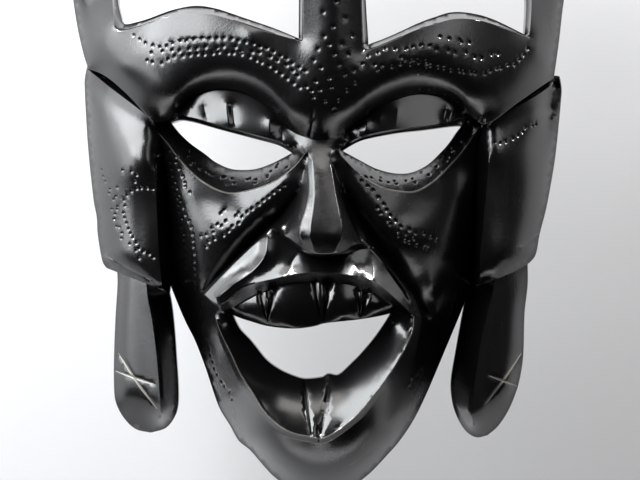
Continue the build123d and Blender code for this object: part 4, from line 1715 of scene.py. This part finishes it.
@dataclass
class EarPendant:
    """A long pendant under an ear panel, with a scratched cross."""

    right: bool
    log: Log = EAR_LOG

    def build(self, shop: Workshop) -> bpy.types.Object:
        """Carves and dresses the pendant.

        Args:
            shop: the shared tools.

        Returns:
            The finished object.
        """
        if self.right:
            edge = (
                (100, 106), (100, 94), (98.5, 80), (98, 62), (97, 53), (95, 44), (91, 34), (86, 26),
                (81, 21.5), (76, 20.5), (71.5, 23), (68, 28), (65.2, 35), (64, 43), (64.3, 50),
                (66, 60), (68, 71), (70.5, 84), (73.5, 97),
            )
            ridge = (
                (84.5, 100), (83.5, 92), (81, 82), (78, 70), (76, 58), (74.2, 45), (73, 34), (73.5, 27),
            )
            cross = [((97.5, 61), (89, 49), (80, 37)), ((81.5, 50.4), (88, 48), (95.5, 45))]
        else:
            edge = (
                (-98, 104), (-97.5, 95), (-98.4, 80), (-99, 66), (-99.3, 53), (-99, 41), (-97.5, 35),
                (-94, 29), (-89, 24.5), (-82, 22.8), (-75, 25), (-71, 30), (-69.3, 36), (-69.2, 45),
                (-70, 58), (-71, 72), (-72.5, 85), (-75, 97),
            )
            ridge = ((-84, 100), (-83, 88), (-81, 78), (-79.3, 66), (-78, 53), (-77, 40), (-76.5, 30))
            cross = [((-97.5, 61), (-88, 47), (-78.5, 34.5)), ((-99, 52.5), (-90, 49.5), (-80, 46.5))]
        last = edge[-1]
        turn = next(k for k, p in enumerate(edge) if p[1] < 24)
        inner = tuple((x, z, 31.0) for x, z in edge[turn:])
        outer = (*((x, z, 36.0 if z > 30 else 33.0) for x, z in edge[:turn]), inner[0])
        cap = (inner[-1], ((last[0] + edge[0][0]) / 2, max(last[1], edge[0][1]) + 1, 45.0), outer[0])
        on = self.log
        sign = 1 if self.right else -1
        rolled = lines(
            lifted(on, tuple((x - sign * 4.5, z) for x, z in edge[1:6]), -5.0),
            lifted(on, tuple((x + sign * 5.0, z) for x, z in ridge[:-1]), -4.2),
            hold=Hold.SWELL,
        )
        crest = Line(lifted(on, ridge, -3.2))
        inner_run = Line(lifted(on, tuple((x - sign * 1.6, z) for x, z in ridge[1:-1]), -6.4))
        grooves = [Groove(track, 1.1, 0.5, 0.7) for track in cross]
        shine = [[crest, Line(tuple((x, z) for x, z in edge[turn:]))]]
        name = "ear_pendant_right" if self.right else "ear_pendant_left"
        relief = Relief(
            on,
            [Line(outer), Line(inner), Line(cap)],
            lines=[crest, inner_run, *rolled],
            grooves=grooves,
            gloss=shine,
            grid=1.8,
        )
        back = Hollow(((10, 90, 24), (120, 90, 24)))
        return wooden_piece(name + "_carved", relief, back, shop)


# ---------------------------------------------------------------------------------------
# Hanger, stage, lights and camera
# ---------------------------------------------------------------------------------------
@dataclass(frozen=True)
class Hanger:
    """The steel strap, screws and ring, whose frame shapes are kept."""

    nodes: tuple[str, ...] = ("hanger_strap", "hanger_screws", "hanger_ring")

    def dress(self, frame: dict[str, object]) -> None:
        """Gives the hanger's own shapes their steel."""
        steel = Steel().material("hanger_steel")
        for name in self.nodes:
            mesh = frame["nodes"][name].data
            mesh.materials.clear()
            mesh.materials.append(steel)
            LOG.info("%s keeps its frame shape", name)


@dataclass(frozen=True)
class Softbox:
    """A rectangular area light."""

    name: str
    at: Place
    size: tuple[float, float]
    watts: float
    tint: Colour = (1.0, 1.0, 1.0)

    def hang(self, aim: Place) -> None:
        """Hangs the light and points it.

        Args:
            aim: what it points at.
        """
        light = bpy.data.lights.new(self.name, "AREA")
        light.shape = "RECTANGLE"
        light.size, light.size_y = self.size
        light.energy = self.watts
        light.color = self.tint
        lamp = bpy.data.objects.new(self.name, light)
        lamp.location = self.at
        lamp.rotation_euler = (Vector(aim) - Vector(self.at)).to_track_quat("-Z", "Y").to_euler()
        bpy.context.scene.collection.objects.link(lamp)


@dataclass(frozen=True)
class Studio:
    """Pale floor and backdrop, soft lights and the camera."""

    wall_gap: float = 0.085
    floor_drop: float = 1.40
    floor_front: float = -0.5
    reach: float = 3.0  # half the backdrop's width, and its height
    distance: float = 3.0
    sensor: float = 36.0
    view_width: float = 0.3072
    view_centre: tuple[float, float] = (0.0, 0.1157)
    view_depth: float = 0.060
    middle: Place = (0, -0.05, 0.13)
    sky: Colour = (0.5, 0.52, 0.55)
    sky_strength: float = 0.02
    softboxes: tuple[Softbox, ...] = (
        Softbox("window", (-0.78, -0.60, 0.86), (0.85, 0.95), 22.0, (0.95, 0.98, 1.0)),
        Softbox("ceiling", (0.0, -0.40, 1.35), (1.1, 0.58), 6.2, (1.0, 0.97, 0.93)),
        Softbox("near_side", (-1.15, -0.26, 0.42), (0.60, 0.80), 6.5, (0.95, 0.98, 1.0)),
        Softbox("far_side", (0.66, -0.80, 0.70), (0.55, 0.55), 1.4, (0.97, 1.0, 0.98)),
    )
    wall_wash: Softbox = Softbox("wall_wash", (0.0, 0.02, 1.25), (2.2, 0.08), 140.0)

    def _sheet(self, name: str, corners: Sequence[Place], material: bpy.types.Material) -> None:
        """Adds one staged quad."""
        mesh = bpy.data.meshes.new(name)
        mesh.from_pydata(list(corners), [], [(0, 1, 2, 3)])
        mesh.materials.append(material)
        sheet = bpy.data.objects.new(name, mesh)
        bpy.context.scene.collection.objects.link(sheet)

    def _camera(self) -> None:
        """Stands the camera square in front of the mask."""
        lens = bpy.data.cameras.new("camera")
        lens.sensor_width = self.sensor
        lens.lens = self.sensor * self.distance / self.view_width
        lens.clip_end = 20.0
        camera = bpy.data.objects.new("camera", lens)
        across, height = self.view_centre
        camera.location = (across, -self.view_depth - self.distance, height)
        camera.rotation_euler = (math.pi / 2, 0, 0)
        bpy.context.scene.collection.objects.link(camera)
        bpy.context.scene.camera = camera

    def build(self) -> None:
        """Sets the stage."""
        plaster = Plaster().material("plaster")
        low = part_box("face")[0][2] - self.floor_drop
        wall, front, far = self.wall_gap, self.floor_front, self.reach
        floor = ((-far, front, low), (far, front, low), (far, wall, low), (-far, wall, low))
        back = ((-far, wall, low), (far, wall, low), (far, wall, far), (-far, wall, far))
        self._sheet("floor", floor, plaster)
        self._sheet("backdrop", back, plaster)
        for softbox in self.softboxes:
            softbox.hang(self.middle)
        self.wall_wash.hang((0, wall, 0.3))
        world = bpy.data.worlds.new("studio")
        world.use_nodes = True
        sky = world.node_tree.nodes["Background"].inputs
        sky["Color"].default_value = (*self.sky, 1)
        sky["Strength"].default_value = self.sky_strength
        bpy.context.scene.world = world
        bpy.context.scene.view_settings.view_transform = "Standard"
        self._camera()


def main() -> None:
    """Builds every piece in order."""
    logging.basicConfig(level=logging.INFO, format="%(name)s: %(message)s")
    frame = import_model()
    shop = Workshop(PunchTool(), Lacquer().material("black_lacquer"))
    Crown().build(shop)
    Face().build(shop)
    for right in (False, True):
        EarPanel(right).build(shop)
        EarPendant(right).build(shop)
    Hanger().dress(frame)
    Studio().build()
    bpy.data.node_groups.remove(shop.punch.tree)


if __name__ == "__main__":
    main()
